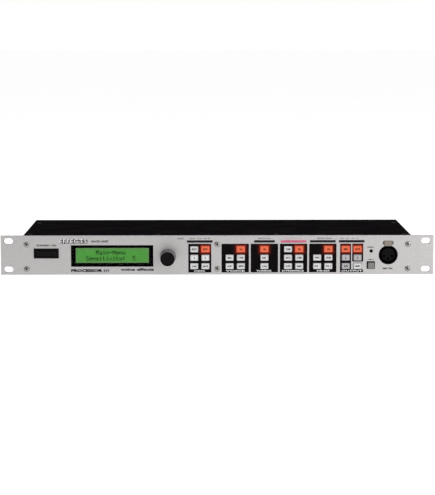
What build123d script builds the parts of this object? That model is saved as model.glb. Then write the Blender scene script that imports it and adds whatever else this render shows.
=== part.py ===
"""One-unit rack effects processor: front panel with its controls, steel case, circuit boards and rear sockets.

Frame: +X to the right seen from the front, +Y from the front to the rear, +Z up, millimetres.
Origin: centre of the four rack slots, on the rear face of the front panel, which seats on the rack rails.
"""

import math
import os

from build123d import *

# ---- overall sizes ----
chassis_width = 434.0
chassis_depth = 170.0
panel_height = 44.0
panel_thickness = 3.0
panel_edge_round = 0.5
sheet = 1.2

# ---- rack ears ----
ear_width = 24.3
slot_from_edge = 8.75
slot_spacing_z = 31.75
slot_length = 10.0
slot_width = 6.6

# ---- case ----
case_reveal = 0.8
case_flange = 12.0
front_flange_depth = 20.0
cover_gap = 0.2

# ---- screws ----
screw_radius = 1.5
screw_thread_gap = 0.05
screw_hole_gap = 0.2
screw_head_radius = 2.8
screw_head_height = 1.4
screw_head_round = 0.6
screw_cross_length = 3.0
screw_cross_width = 0.8
screw_cross_depth = 0.9
panel_screw_length = 8.0
case_screw_length = 6.0
case_head_height = 0.7
case_head_round = 0.35
case_cross_depth = 0.5
panel_screw_inset = 4.5
panel_screw_high_z = 12.1
panel_screw_low_z = -15.4
cover_screw_inset = 7.0
cover_screw_inner_x = 66.0
cover_screw_front_y = 14.0
cover_screw_rear_inset = 38.0
rear_screw_z = 12.0

# ---- keys ----
key_width = 8.9
key_height = 6.7
key_gap = 0.25
key_proud = 1.6
key_round = 0.5
key_travel = 1.0
key_pitch_x = 12.5
key_pitch_z = 9.5
key_top_row_z = 6.6
key_flange = 0.6
key_flange_thickness = 1.0
key_rest_gap = 0.2
key_stem = 3.0

# ---- black key fields ----
field_height = 32.0
field_z = -3.4
field_recess = 0.3
field_corner = 0.5
field_fit = 0.1
bezel_plate = 1.0
bezel_margin = 1.0
control_field_x = -19.5
control_field_width = 25.4
field_pitch = 32.55
field_width = 30.4
first_field_x = 20.0
output_field_x = 149.9
output_field_width = 25.7
output_key_pitch = 13.2
output_divider = 1.4
output_step_z = -7.4
centre_web = 7.2
bezel_boss_radius = 2.3

# ---- switches behind the keys ----
switch_side = 6.2
switch_height = 3.6
switch_well_floor = 0.8
switch_clear = 0.8
board = 1.6
key_board_margin_z = 0.8

# ---- meters and peak lamp ----
meter_z = 15.3
meter_height = 2.7
meter_segments = 5
meter_segment_gap = 0.3
meter_width = 28.6
tuning_meter_width = 23.0
meter_fit = 0.1
lamp_radius = 1.5
lamp_z = 4.4
lamp_recess = 0.6

# ---- display ----
display_from_side = 99.8
display_z = -0.8
window_width = 91.8
window_height = 24.2
window_recess = 0.2
window_fit = 0.15
window_lip = 1.0
cell_width = 96.0
cell_height = 25.4
cell_depth = 6.0
cell_gap = 0.4
view_width = 82.4
view_height = 17.4
view_depth = 0.3
display_board_width = 108.0
display_board_height = 36.0
display_post_inset = 3.0

# ---- power switch ----
power_from_side = 26.5
power_z = 2.1
power_bezel_width = 27.9
power_bezel_height = 11.1
power_bezel_proud = 1.0
power_body_width = 25.2
power_body_height = 9.4
power_body_back = 14.0
power_wall = 0.9
power_gap = 0.25
power_button_proud = 1.9
power_button_front_width = 17.5
power_button_front_height = 5.4
power_button_back = 4.0
power_travel = 3.0

# ---- phantom power button ----
phantom_from_side = 45.3
phantom_z = -11.8
phantom_width = 6.9
phantom_height = 6.4
phantom_proud = 2.6
phantom_travel = 2.0
phantom_gap = 0.3

# ---- data knob and encoder ----
knob_from_side = 162.0
knob_z = -1.6
knob_radius = 7.9
knob_front = 23.4
knob_lift = 0.6
knob_skirt_radius = 8.8
knob_skirt_height = 1.6
knob_round = 0.7
knob_flutes = 36
knob_flute_radius = 0.28
knob_hollow_radius = 6.3
knob_hollow_depth = 7.2
shaft_radius = 3.0
shaft_running_gap = 0.05
shaft_press_gap = 0.02
shaft_length_in_knob = 14.0
bush_radius = 3.5
bush_proud = 5.6
encoder_width = 12.4
encoder_height = 13.2
nut_across = 10.0
nut_height = 2.0

# ---- microphone socket ----
mic_from_side = 26.3
mic_z = 0.0
mic_mouth_radius = 10.6
mic_bore_radius = 9.7
mic_insert_radius = 7.6
mic_insert_recess = 1.6
mic_depth = 18.0
mic_block_width = 26.0
mic_block_back = 26.0
mic_block_top = 17.0
mic_pin_circle = 4.7
mic_pin_hole_radius = 1.45
mic_pin_angles = (200, 270, 340)
mic_sleeve_recess = 1.0
mic_sleeve_floor = 2.0
mic_sleeve_end = 1.0
mic_contact_wall = 0.2
mic_fit = 0.15
latch_width = 11.2
latch_height = 4.2
latch_z = 13.4
latch_neck_width = 7.9
latch_neck_low = 9.9
latch_proud = 1.2
latch_back = 10.0
latch_travel = 2.5
latch_gap = 0.3
latch_pocket_top = 16.2

# ---- main board ----
standoff_height = 6.0
standoff_radius = 2.5
board_from_left = 77.0
board_screw_gap = 2.0
board_front_y = 12.0
board_rear_gap = 5.0

# ---- rear sockets ----
inlet_from_side = 32.0
inlet_flange_width = 30.6
inlet_flange_height = 23.0
inlet_flange_thickness = 2.2
inlet_body_width = 27.2
inlet_body_height = 19.6
inlet_body_depth = 20.0
inlet_cavity_width = 24.4
inlet_cavity_height = 16.8
inlet_cavity_depth = 15.5
inlet_pin_tip = 4.7
inlet_pin_pitch = 7.0
inlet_pin_height = 4.0
inlet_pin_width = 2.0
inlet_fit = 0.2
midi_first_x = -108.0
midi_pitch = 28.0
midi_side = 20.5
midi_depth = 14.0
midi_face_radius = 7.9
midi_proud = 0.6
midi_pocket_wall = 0.7
midi_pocket_depth = 6.0
midi_core_radius = 6.1
socket_fit = 0.15
phono_x = -12.0
phono_side = 10.5
phono_depth = 12.0
phono_height = 9.0
phono_barrel_radius = 4.15
phono_barrel_length = 8.0
phono_neck_radius = 3.95
phono_neck_length = 0.5
phono_wall = 0.6
phono_pin_radius = 1.7
jack_first_x = 26.0
jack_pitch = 33.0
jack_count = 4
jack_side = 15.0
jack_depth = 26.0
jack_bore_radius = 3.25
jack_bore_depth = 28.0
jack_thread_radius = 5.0
jack_thread_length = 4.6
jack_nut_across = 13.0
jack_nut_height = 2.0

# ---- transformer ----
transformer_from_side = 43.0
transformer_y = 74.0
core_width = 46.0
core_depth = 22.0
core_height = 34.0
winding_depth = 36.0
winding_width = 28.0
transformer_foot = 1.0

# ---- levels worked out from the sizes above ----
panel_width = chassis_width + 2 * ear_width
panel_front = -panel_thickness
slot_x = panel_width / 2 - slot_from_edge
side_x = chassis_width / 2
case_top = panel_height / 2 - case_reveal
case_bottom = -case_top
lid_under = case_top - sheet
floor_top = case_bottom + sheet
flange_under = lid_under - sheet
field_low = field_z - field_height / 2
field_high = field_z + field_height / 2

key_front = panel_front - key_proud
key_flange_front = bezel_plate + key_rest_gap
key_flange_back = key_flange_front + key_flange_thickness
switch_front = key_flange_back + key_travel + switch_clear
key_board_front = switch_front + switch_height
key_board_back = key_board_front + board
key_stem_back = key_board_front - switch_well_floor - key_travel - key_rest_gap

power_x = -side_x + power_from_side
display_x = -side_x + display_from_side
knob_x = -side_x + knob_from_side
mic_x = side_x - mic_from_side
phantom_x = side_x - phantom_from_side
panel_screw_x = side_x - panel_screw_inset
cover_screw_x = side_x - cover_screw_inset
inlet_x = -side_x + inlet_from_side

cell_front = sheet + cell_gap
display_board_front = cell_front + cell_depth
main_board_low = floor_top + standoff_height
main_board_top = main_board_low + board
main_board_left = -side_x + board_from_left
main_board_right = side_x - cover_screw_inset - screw_radius - board_screw_gap
main_board_back = chassis_depth - board_rear_gap
rear_face = chassis_depth
rear_inside = chassis_depth - sheet

# Each key field: centre, width, column pitch and the (column, row) of its keys; row 0 is the top row.
all_six = [(-1, 0), (1, 0), (-1, 1), (1, 1), (-1, 2), (1, 2)]
no_top_left = [(1, 0), (-1, 1), (1, 1), (-1, 2), (1, 2)]
single_column = [(0, 0), (0, 1), (0, 2)]
fields = {
    "control": (control_field_x, control_field_width, key_pitch_x, all_six),
    "voice": (first_field_x, field_width, key_pitch_x, no_top_left),
    "tuning": (first_field_x + field_pitch, field_width, key_pitch_x, single_column),
    "dynamics": (first_field_x + 2 * field_pitch, field_width, key_pitch_x, all_six),
    "deesser": (first_field_x + 3 * field_pitch, field_width, key_pitch_x, no_top_left),
    "output": (output_field_x, output_field_width, output_key_pitch, all_six),
}
meters = {
    "control": meter_width,
    "tuning": tuning_meter_width,
    "dynamics": meter_width,
    "deesser": meter_width,
    "output": meter_width,
}


# ---- shapes used by several parts ----
def slab(x, z, width, height, front, back):
    """Block centred at x, z of the panel plane, from y = front to y = back."""
    return Pos(x, (front + back) / 2, z) * Box(width, back - front, height)


def span(x0, x1, y0, y1, z0, z1):
    """Block between two corners."""
    return Pos((x0 + x1) / 2, (y0 + y1) / 2, (z0 + z1) / 2) * Box(x1 - x0, y1 - y0, z1 - z0)


def rod(x, z, radius, front, back):
    """Cylinder along Y."""
    return Pos(x, (front + back) / 2, z) * Rot(90, 0, 0) * Cylinder(radius, back - front)


def post(x, y, radius, low, high):
    """Cylinder along Z."""
    return Pos(x, y, (low + high) / 2) * Cylinder(radius, high - low)


def prism(sketch, front, back):
    """Sketch drawn in the panel plane, run from y = front to y = back."""
    return extrude(Plane.XZ.offset(-back) * sketch, back - front)


def hex_nut(x, z, across, bore, front, back):
    """Hexagon nut along Y, with its across-flats size."""
    sketch = Pos(x, z) * (RegularPolygon(across / 2, 6, major_radius=False) - Circle(bore))
    return prism(sketch, front, back)


def front_edges(shape):
    """Edges of the face furthest to the front."""
    return shape.faces().sort_by(Axis.Y)[0].edges()


def screw(length, head_height, head_round, cross_depth):
    """Screw along +Y, with its seat at y = 0, a rounded head and a cross recess."""
    head = rod(0, 0, screw_head_radius, -head_height, 0)
    head = fillet(front_edges(head), head_round)
    cross_back = cross_depth - head_height
    cross = slab(0, 0, screw_cross_length, screw_cross_width, -head_height, cross_back)
    cross += slab(0, 0, screw_cross_width, screw_cross_length, -head_height, cross_back)
    return head + rod(0, 0, screw_radius, 0, length) - cross


def key_places(field):
    """(x, z) of each key of a field."""
    centre, _, pitch, keys = fields[field]
    return [(centre + column * pitch / 2, key_top_row_z - row * key_pitch_z) for column, row in keys]


def panel_screw_places():
    """(x, z) of the screws that hold the panel on the case."""
    return [(x, z) for x in (-panel_screw_x, 0, panel_screw_x) for z in (panel_screw_high_z, panel_screw_low_z)]


def cover_screw_places():
    """(x, y) of the screws that hold the top cover."""
    front = [(x, cover_screw_front_y) for x in (-cover_screw_x, -cover_screw_inner_x, cover_screw_inner_x, cover_screw_x)]
    return front + [(x, chassis_depth - cover_screw_rear_inset) for x in (-cover_screw_x, cover_screw_x)]


def rear_screw_places():
    """(x, z) of the screws that hold the rear panel."""
    return [(x, z) for x in (-cover_screw_x, cover_screw_x) for z in (-rear_screw_z, rear_screw_z)]


def standoff_places():
    """(x, y) of the posts under the main board."""
    inset = 2 * standoff_radius
    middle = (main_board_left + main_board_right) / 2
    xs = (main_board_left + inset, middle, main_board_right - inset)
    return [(x, y) for x in xs for y in (board_front_y + inset, main_board_back - jack_depth - inset)]


def jack_places():
    """x of each jack socket."""
    return [jack_first_x + i * jack_pitch for i in range(jack_count)]


def midi_places():
    """x of each round control socket."""
    return [midi_first_x + i * midi_pitch for i in range(3)]


# ---- outlines shared by the panel and what fills its windows ----
def field_outlines(grow):
    """Outlines of the black fields, larger all round by grow. The last field is two, and its right one stops short."""
    outlines = {}
    for name, (x, width, _, _) in fields.items():
        if name != "output":
            size = (width + 2 * grow, field_height + 2 * grow)
            outlines[name] = Pos(x, field_z) * RectangleRounded(*size, field_corner + grow)
    half = (output_field_width - output_divider) / 2
    offset = (half + output_divider) / 2
    left = RectangleRounded(half + 2 * grow, field_height + 2 * grow, field_corner + grow)
    right_height = field_high - output_step_z
    right = RectangleRounded(half + 2 * grow, right_height + 2 * grow, field_corner + grow)
    outlines["output_left"] = Pos(output_field_x - offset, field_z) * left
    outlines["output_right"] = Pos(output_field_x + offset, (field_high + output_step_z) / 2) * right
    return outlines


def latch_outline(grow):
    """Outline of the release tab: a rounded bar on a narrower neck."""
    bar = Pos(mic_x, latch_z) * RectangleRounded(
        latch_width + 2 * grow, latch_height + 2 * grow, latch_height / 2.4 + grow
    )
    neck_low = latch_neck_low - grow
    neck = Pos(mic_x, (neck_low + latch_z) / 2) * Rectangle(latch_neck_width + 2 * grow, latch_z - neck_low)
    return bar + neck


# ---- case ----
def front_panel():
    """Aluminium plate with the rack slots and a window for each control."""
    plate = slab(0, 0, panel_width, panel_height, panel_front, 0)
    plate = fillet(front_edges(plate), panel_edge_round)
    cuts = [
        prism(Pos(x, z) * SlotOverall(slot_length, slot_width), panel_front, 0)
        for x in (-slot_x, slot_x)
        for z in (-slot_spacing_z / 2, slot_spacing_z / 2)
    ]
    cuts += [rod(x, z, screw_radius + screw_hole_gap, panel_front, 0) for x, z in panel_screw_places()]
    cuts += [prism(outline, panel_front, 0) for outline in field_outlines(field_fit).values()]
    lone_x, lone_z = key_places("output")[-1]
    cuts.append(slab(lone_x, lone_z, key_width + 2 * key_gap, key_height + 2 * key_gap, panel_front, 0))
    for name, width in meters.items():
        cuts.append(slab(fields[name][0], meter_z, width, meter_height, panel_front, 0))
    cuts.append(slab(display_x, display_z, window_width, window_height, panel_front, 0))
    power_size = (power_body_width + 2 * power_gap, power_body_height + 2 * power_gap)
    cuts.append(slab(power_x, power_z, *power_size, panel_front, 0))
    cuts.append(rod(knob_x, knob_z, bush_radius + screw_hole_gap, panel_front, 0))
    cuts.append(rod(phantom_x, lamp_z, lamp_radius + meter_fit, panel_front, 0))
    phantom_size = (phantom_width + 2 * phantom_gap, phantom_height + 2 * phantom_gap)
    cuts.append(slab(phantom_x, phantom_z, *phantom_size, panel_front, 0))
    cuts.append(rod(mic_x, mic_z, mic_mouth_radius + mic_fit, panel_front, 0))
    cuts.append(prism(latch_outline(latch_gap), panel_front, 0))
    return plate - cuts


def chassis_tray():
    """Steel tray: floor, sides with turned-in flanges, and a front wall with windows behind the controls."""
    tray = span(-side_x, side_x, 0, rear_face, case_bottom, floor_top)
    tray += span(-side_x, side_x, 0, sheet, case_bottom, lid_under)
    tray += span(-side_x, side_x, 0, front_flange_depth, flange_under, lid_under)
    for side in (-1, 1):
        outer, inner, lip = side * side_x, side * (side_x - sheet), side * (side_x - case_flange)
        tray += span(min(outer, inner), max(outer, inner), 0, rear_face, case_bottom, lid_under)
        tray += span(min(outer, lip), max(outer, lip), 0, rear_inside - sheet, flange_under, lid_under)
        tray += span(min(outer, lip), max(outer, lip), rear_inside - sheet, rear_inside, floor_top, lid_under)
    window_top = meter_z + meter_height / 2 + 1.5
    control_left = control_field_x - meter_width / 2 - bezel_margin
    lens = (window_width + 2 * window_lip + 2 * window_fit, window_height + 2 * window_lip + 2 * window_fit)
    power_size = (power_body_width + 2 * power_gap, power_body_height + 2 * power_gap)
    cuts = [
        span(control_left, -centre_web / 2, 0, sheet, floor_top, window_top),
        span(centre_web / 2, mic_x + mic_block_width / 2 + 0.5, 0, sheet, floor_top, window_top),
        slab(display_x, display_z, *lens, 0, sheet),
        slab(power_x, power_z, *power_size, 0, sheet),
        rod(knob_x, knob_z, bush_radius + screw_hole_gap, 0, sheet),
    ]
    tapped = screw_radius + screw_thread_gap
    cuts += [rod(x, z, tapped, 0, sheet) for x, z in panel_screw_places()]
    cuts += [post(x, y, tapped, flange_under, lid_under) for x, y in cover_screw_places()]
    cuts += [rod(x, z, tapped, rear_inside - sheet, rear_inside) for x, z in rear_screw_places()]
    return tray - cuts


def rear_panel():
    """Steel plate at the back, with a hole for each socket."""
    width = chassis_width - 2 * sheet - 2 * cover_gap
    plate = span(-width / 2, width / 2, rear_inside, rear_face, floor_top, lid_under)
    inlet_size = (inlet_body_width + 2 * inlet_fit, inlet_body_height + 2 * inlet_fit)
    cuts = [slab(inlet_x, 0, *inlet_size, rear_inside, rear_face)]
    cuts += [rod(x, z, screw_radius + screw_hole_gap, rear_inside, rear_face) for x, z in rear_screw_places()]
    midi_z = main_board_top + midi_side / 2
    cuts += [rod(x, midi_z, midi_face_radius + socket_fit, rear_inside, rear_face) for x in midi_places()]
    phono_z = main_board_top + phono_height
    cuts.append(rod(phono_x, phono_z, phono_barrel_radius + socket_fit, rear_inside, rear_face))
    jack_z = main_board_top + jack_side / 2
    cuts += [rod(x, jack_z, jack_thread_radius + socket_fit, rear_inside, rear_face) for x in jack_places()]
    return plate - cuts


def top_cover():
    """Flat steel lid that lies on the flanges of the tray."""
    lid = span(-side_x, side_x, cover_gap, rear_face, lid_under, case_top)
    holes = [post(x, y, screw_radius + screw_hole_gap, lid_under, case_top) for x, y in cover_screw_places()]
    return lid - holes


def panel_screws():
    """Bright screws through the front panel."""
    pan_head = screw(panel_screw_length, screw_head_height, screw_head_round, screw_cross_depth)
    return [Pos(x, panel_front, z) * pan_head for x, z in panel_screw_places()]


def case_screws():
    """Black low-headed screws of the top cover and the rear panel."""
    low_head = screw(case_screw_length, case_head_height, case_head_round, case_cross_depth)
    down = [Pos(x, y, case_top) * Rot(-90, 0, 0) * low_head for x, y in cover_screw_places()]
    forward = [Pos(x, rear_face, z) * Rot(0, 0, 180) * low_head for x, z in rear_screw_places()]
    return down + forward


# ---- keys and what is behind them ----
def key(x, z):
    """Key cap with a trapping flange and a stem that runs in the well of its switch."""
    cap = slab(x, z, key_width, key_height, key_front, key_flange_back)
    cap = fillet(front_edges(cap), key_round)
    flange_size = (key_width + 2 * key_flange, key_height + 2 * key_flange)
    flange = slab(x, z, *flange_size, key_flange_front, key_flange_back)
    return cap + flange + slab(x, z, key_stem, key_stem, key_flange_back, key_stem_back)


def key_bezel():
    """Two black mouldings whose raised fields fill the panel windows round the keys."""
    front = panel_front + field_recess
    outlines = field_outlines(0)
    plate_low = floor_top + key_rest_gap
    plate_high = field_high + bezel_margin
    hole = (key_width + 2 * key_gap, key_height + 2 * key_gap)
    left_edge = control_field_x - control_field_width / 2
    left = span(left_edge, -centre_web / 2 - key_rest_gap, 0, bezel_plate, plate_low, plate_high)
    left += prism(outlines["control"], front, 0)
    left -= [slab(x, z, *hole, front, bezel_plate) for x, z in key_places("control")]
    right_end = output_field_x + output_field_width / 2
    right = span(centre_web / 2 + key_rest_gap, right_end, 0, bezel_plate, plate_low, plate_high)
    right += [prism(outline, front, 0) for name, outline in outlines.items() if name != "control"]
    right += [
        rod((fields[a][0] + fields[b][0]) / 2, key_top_row_z - key_pitch_z, bezel_boss_radius, 0, key_board_front)
        for a, b in (("voice", "tuning"), ("tuning", "dynamics"))
    ]
    between = (fields["deesser"][0] + field_width / 2 + output_field_x - output_field_width / 2) / 2
    right += rod(between, key_top_row_z - key_pitch_z, bezel_boss_radius, 0, key_board_front)
    for name in fields:
        if name != "control":
            right -= [slab(x, z, *hole, front, bezel_plate) for x, z in key_places(name)]
    return [left, right]


def switch(x, z):
    """Push switch with a square well for the stem."""
    body = slab(x, z, switch_side, switch_side, switch_front, key_board_front)
    well = key_stem + 2 * key_gap
    return body - slab(x, z, well, well, switch_front, key_board_front - switch_well_floor)


def key_switches():
    """One switch behind each key, and one behind the phantom power button."""
    bodies = [switch(x, z) for name in fields for x, z in key_places(name)]
    return bodies + [switch(phantom_x, phantom_z)]


def key_board():
    """Long circuit board behind the keys, the knob and the lamps."""
    low = floor_top + key_board_margin_z
    high = flange_under - key_board_margin_z
    right = mic_x - mic_block_width / 2 - 0.7
    return span(knob_x - encoder_width / 2 - 1, right, key_board_front, key_board_back, low, high)


def indicator_lamps():
    """Light bars of the five meters, and the round peak lamp."""
    bars = []
    for name, width in meters.items():
        pitch = (width - 2 * meter_fit + meter_segment_gap) / meter_segments
        first = fields[name][0] - pitch * (meter_segments - 1) / 2
        for i in range(meter_segments):
            size = (pitch - meter_segment_gap, meter_height - 2 * meter_fit)
            bars.append(slab(first + i * pitch, meter_z, *size, panel_front, key_board_front))
    lamp = rod(phantom_x, lamp_z, lamp_radius, panel_front + lamp_recess, key_board_front)
    bars.append(fillet(front_edges(lamp), lamp_radius * 0.8))
    return bars


# ---- display ----
def display_window():
    """Clear lens that fills the display window, with a lip behind the panel."""
    size = (window_width - 2 * window_fit, window_height - 2 * window_fit)
    lens = slab(display_x, display_z, *size, panel_front + window_recess, 0)
    return lens + slab(display_x, display_z, size[0] + 2 * window_lip, size[1] + 2 * window_lip, 0, sheet)


def display_cell():
    """Liquid crystal cell in its metal frame, with a shallow view area."""
    cell = slab(display_x, display_z, cell_width, cell_height, cell_front, display_board_front)
    return cell - slab(display_x, display_z, view_width, view_height, cell_front, cell_front + view_depth)


def display_board():
    """Circuit board that carries the cell."""
    size = (display_board_width, display_board_height)
    return slab(display_x, display_z, *size, display_board_front, display_board_front + board)


# ---- power switch ----
def power_switch_housing():
    """Black switch body that snaps into the panel, open at the front for its button."""
    front = panel_front - power_bezel_proud
    bezel = slab(power_x, power_z, power_bezel_width, power_bezel_height, front, panel_front)
    bezel = fillet(front_edges(bezel), power_bezel_proud * 0.4)
    body = slab(power_x, power_z, power_body_width, power_body_height, panel_front, power_body_back)
    size = (power_body_width - 2 * power_wall, power_body_height - 2 * power_wall)
    well_back = power_button_back + power_travel + switch_clear
    return bezel + body - slab(power_x, power_z, *size, front, well_back)


def power_button():
    """Button with a sloping face all round its flat centre."""
    width = power_body_width - 2 * power_wall - 2 * power_gap
    height = power_body_height - 2 * power_wall - 2 * power_gap
    front = panel_front - power_bezel_proud - power_button_proud
    shoulder = panel_front - power_bezel_proud + 0.3
    body = slab(power_x, power_z, width, height, shoulder, power_button_back)
    base = Plane.XZ.offset(-shoulder) * (Pos(power_x, power_z) * Rectangle(width, height))
    face_size = (power_button_front_width, power_button_front_height)
    face = Plane.XZ.offset(-front) * (Pos(power_x, power_z) * Rectangle(*face_size))
    return body + loft([base, face])


# ---- phantom power button ----
def phantom_button():
    """Square push button with a flange and a stem."""
    cap = slab(phantom_x, phantom_z, phantom_width, phantom_height, panel_front - phantom_proud, key_flange_front)
    cap = fillet(front_edges(cap), key_round)
    flange_size = (phantom_width + 2 * key_flange, phantom_height + 2 * key_flange)
    flange_back = switch_front - phantom_travel - key_rest_gap
    flange = slab(phantom_x, phantom_z, *flange_size, key_rest_gap, flange_back)
    stem_back = key_board_front - switch_well_floor - phantom_travel - key_rest_gap
    return cap + flange + slab(phantom_x, phantom_z, key_stem, key_stem, flange_back, stem_back)


# ---- data knob ----
def data_knob():
    """Fluted knob with a skirt and a hollow back, and the shaft that it is pressed on."""
    back = panel_front - knob_lift
    front = panel_front - knob_front
    grip = rod(knob_x, knob_z, knob_radius, front, back)
    grip = fillet(front_edges(grip), knob_round)
    flutes = [
        rod(
            knob_x + (knob_radius + knob_flute_radius * 0.3) * math.cos(2 * math.pi * i / knob_flutes),
            knob_z + (knob_radius + knob_flute_radius * 0.3) * math.sin(2 * math.pi * i / knob_flutes),
            knob_flute_radius,
            front,
            back - knob_skirt_height,
        )
        for i in range(knob_flutes)
    ]
    cap = grip - flutes + rod(knob_x, knob_z, knob_skirt_radius, back - knob_skirt_height, back)
    cap -= rod(knob_x, knob_z, knob_hollow_radius, back - knob_hollow_depth, back)
    shaft_front = back - knob_hollow_depth / 2 - shaft_length_in_knob
    cap -= rod(knob_x, knob_z, shaft_radius + shaft_press_gap, shaft_front, back)
    return [cap, rod(knob_x, knob_z, shaft_radius, shaft_front, key_board_front - board)]


def encoder():
    """Rotary encoder body with its bush, and the nut that clamps it in the panel."""
    body = slab(knob_x, knob_z, encoder_width, encoder_height, sheet, key_board_front)
    body += rod(knob_x, knob_z, bush_radius, panel_front - bush_proud, sheet)
    running = shaft_radius + shaft_running_gap
    body -= rod(knob_x, knob_z, running, panel_front - bush_proud, key_board_front - board + screw_hole_gap)
    nut = hex_nut(knob_x, knob_z, nut_across, bush_radius + shaft_press_gap, panel_front - nut_height, panel_front)
    return [body, nut]


# ---- microphone socket ----
def mic_socket_shell():
    """Black socket body that stands on the main board, with a mouth through the panel and a pocket for the tab."""
    shell = span(
        mic_x - mic_block_width / 2, mic_x + mic_block_width / 2,
        mic_fit, mic_block_back, main_board_top, mic_block_top,
    )
    shell += rod(mic_x, mic_z, mic_mouth_radius, panel_front, mic_fit)
    shell -= rod(mic_x, mic_z, mic_bore_radius, panel_front, mic_depth)
    half = latch_width / 2 + latch_gap
    pocket_back = latch_back + latch_travel + latch_gap
    return shell - span(
        mic_x - half, mic_x + half, panel_front, pocket_back, latch_neck_low - latch_gap, latch_pocket_top
    )


def mic_socket_insert():
    """Round insulator with three contact holes, and a contact sleeve in each."""
    front = panel_front + mic_insert_recess
    insert = rod(mic_x, mic_z, mic_insert_radius, front, mic_depth)
    sleeve_front, sleeve_back = front + mic_sleeve_recess, mic_depth - mic_sleeve_floor
    bore_radius, bore_back = mic_pin_hole_radius - mic_contact_wall, sleeve_back - mic_sleeve_end
    sleeves = []
    for angle in mic_pin_angles:
        x = mic_x + mic_pin_circle * math.cos(math.radians(angle))
        z = mic_z + mic_pin_circle * math.sin(math.radians(angle))
        insert -= rod(x, z, mic_pin_hole_radius, front, sleeve_back)
        sleeve = rod(x, z, mic_pin_hole_radius, sleeve_front, sleeve_back)
        sleeves.append(sleeve - rod(x, z, bore_radius, sleeve_front, bore_back))
    return [insert] + sleeves


def mic_latch():
    """Release tab of the socket."""
    tab = prism(latch_outline(0), panel_front - latch_proud, latch_back)
    return fillet(front_edges(tab), 0.4)


# ---- boards and what stands on them ----
def main_board():
    """Main circuit board on its posts."""
    return span(main_board_left, main_board_right, board_front_y, main_board_back, main_board_low, main_board_top)


def board_standoffs():
    """Posts under the main board and behind the front wall."""
    posts = [post(x, y, standoff_radius, floor_top, main_board_low) for x, y in standoff_places()]
    key_board_posts = [(0, key_top_row_z - key_pitch_z)]
    beside = (knob_x + encoder_width / 2 + control_field_x - meter_width / 2 - bezel_margin) / 2
    key_board_posts += [(beside, -panel_screw_high_z), (beside, panel_screw_high_z)]
    posts += [rod(x, z, standoff_radius, sheet, key_board_front) for x, z in key_board_posts]
    off_x = display_board_width / 2 - display_post_inset
    off_z = display_board_height / 2 - display_post_inset
    return posts + [
        rod(display_x + sx * off_x, display_z + sz * off_z, standoff_radius, sheet, display_board_front)
        for sx in (-1, 1)
        for sz in (-1, 1)
    ]


def board_components():
    """Chips, capacitors, the socket's board connector and the ribbon between the two boards."""
    top = main_board_top
    pieces = []
    chip_height, cap_height, cap_radius = 2.4, 16.0, 5.0
    for x, y, side in ((-20, 60, 28), (30, 58, 20), (70, 60, 20), (110, 56, 14), (140, 70, 14)):
        pieces.append(span(x - side / 2, x + side / 2, y - side / 2, y + side / 2, top, top + chip_height))
    for i in range(4):
        pieces.append(post(main_board_left + 14 + i * 14, 92, cap_radius, top, top + cap_height))
    ribbon_width, ribbon, plug_height, plug_depth = 30.0, 0.9, 5.0, 6.0
    plug_z = 2.0
    bend_y = key_board_back + 16
    pieces.append(slab(0, plug_z, ribbon_width + 4, plug_height, key_board_back, key_board_back + plug_depth))
    pieces.append(
        span(-ribbon_width / 2 - 2, ribbon_width / 2 + 2, bend_y - plug_height / 2, bend_y + plug_height / 2,
             top, top + plug_depth)
    )
    run_y, run_z = key_board_back + plug_depth, top + plug_depth
    path = FilletPolyline((0, run_y, plug_z), (0, bend_y, plug_z), (0, bend_y, run_z), radius=4)
    start = Plane(origin=(0, run_y, plug_z), x_dir=(1, 0, 0), z_dir=(0, 1, 0))
    pieces.append(sweep(start * Rectangle(ribbon_width, ribbon), path=path))
    return pieces


def mains_transformer():
    """Laminated core, its winding and the foot that holds it on the floor."""
    x = -side_x + transformer_from_side
    low = floor_top + transformer_foot
    foot = span(x - core_width / 2 - 6, x + core_width / 2 + 6, transformer_y - core_depth / 2,
                transformer_y + core_depth / 2, floor_top, low)
    window = 0.3
    core = span(x - core_width / 2, x + core_width / 2, transformer_y - core_depth / 2,
                transformer_y + core_depth / 2, low, low + core_height)
    wound_low, wound_high = low + 5, low + core_height - 5
    core -= span(x - winding_width / 2 - window, x + winding_width / 2 + window,
                 transformer_y - core_depth / 2, transformer_y + core_depth / 2, wound_low, wound_high)
    winding = span(x - winding_width / 2, x + winding_width / 2, transformer_y - winding_depth / 2,
                   transformer_y + winding_depth / 2, wound_low, wound_high - window)
    winding = fillet(winding.edges().filter_by(Axis.Z), 4)
    return [foot, core, winding]


# ---- rear sockets ----
def mains_inlet():
    """Recessed three-pin mains inlet: one moulding and three blades."""
    back = rear_face + inlet_flange_thickness
    body = slab(inlet_x, 0, inlet_body_width, inlet_body_height, rear_face - inlet_body_depth, rear_face)
    flange = slab(inlet_x, 0, inlet_flange_width, inlet_flange_height, rear_face, back)
    flange = fillet(flange.edges().filter_by(Axis.Y), 2)
    mouth = slab(inlet_x, 0, inlet_cavity_width, inlet_cavity_height, back - inlet_cavity_depth, back)
    upper = mouth.edges().filter_by(Axis.Y).sort_by(Axis.Z)[-2:]
    housing = body + flange - chamfer(upper, 4.5)
    floor_y = back - inlet_cavity_depth
    pins = [
        slab(inlet_x + i * inlet_pin_pitch, z, inlet_pin_width, inlet_pin_height, floor_y, back - inlet_pin_tip)
        for i, z in ((-1, -2.0), (0, 2.2), (1, -2.0))
    ]
    return [housing] + pins


def midi_sockets():
    """Three round control sockets on the main board: each a body with a round pocket, and the core inside it."""
    pieces = []
    z = main_board_top + midi_side / 2
    face = rear_face + midi_proud
    floor_y = face - midi_pocket_depth
    for x in midi_places():
        body = slab(x, z, midi_side, midi_side, rear_inside - midi_depth, rear_inside)
        body += rod(x, z, midi_face_radius, rear_inside, face)
        pieces.append(body - rod(x, z, midi_face_radius - midi_pocket_wall, floor_y, face))
        pieces.append(rod(x, z, midi_core_radius, floor_y, face))
    return pieces


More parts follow.
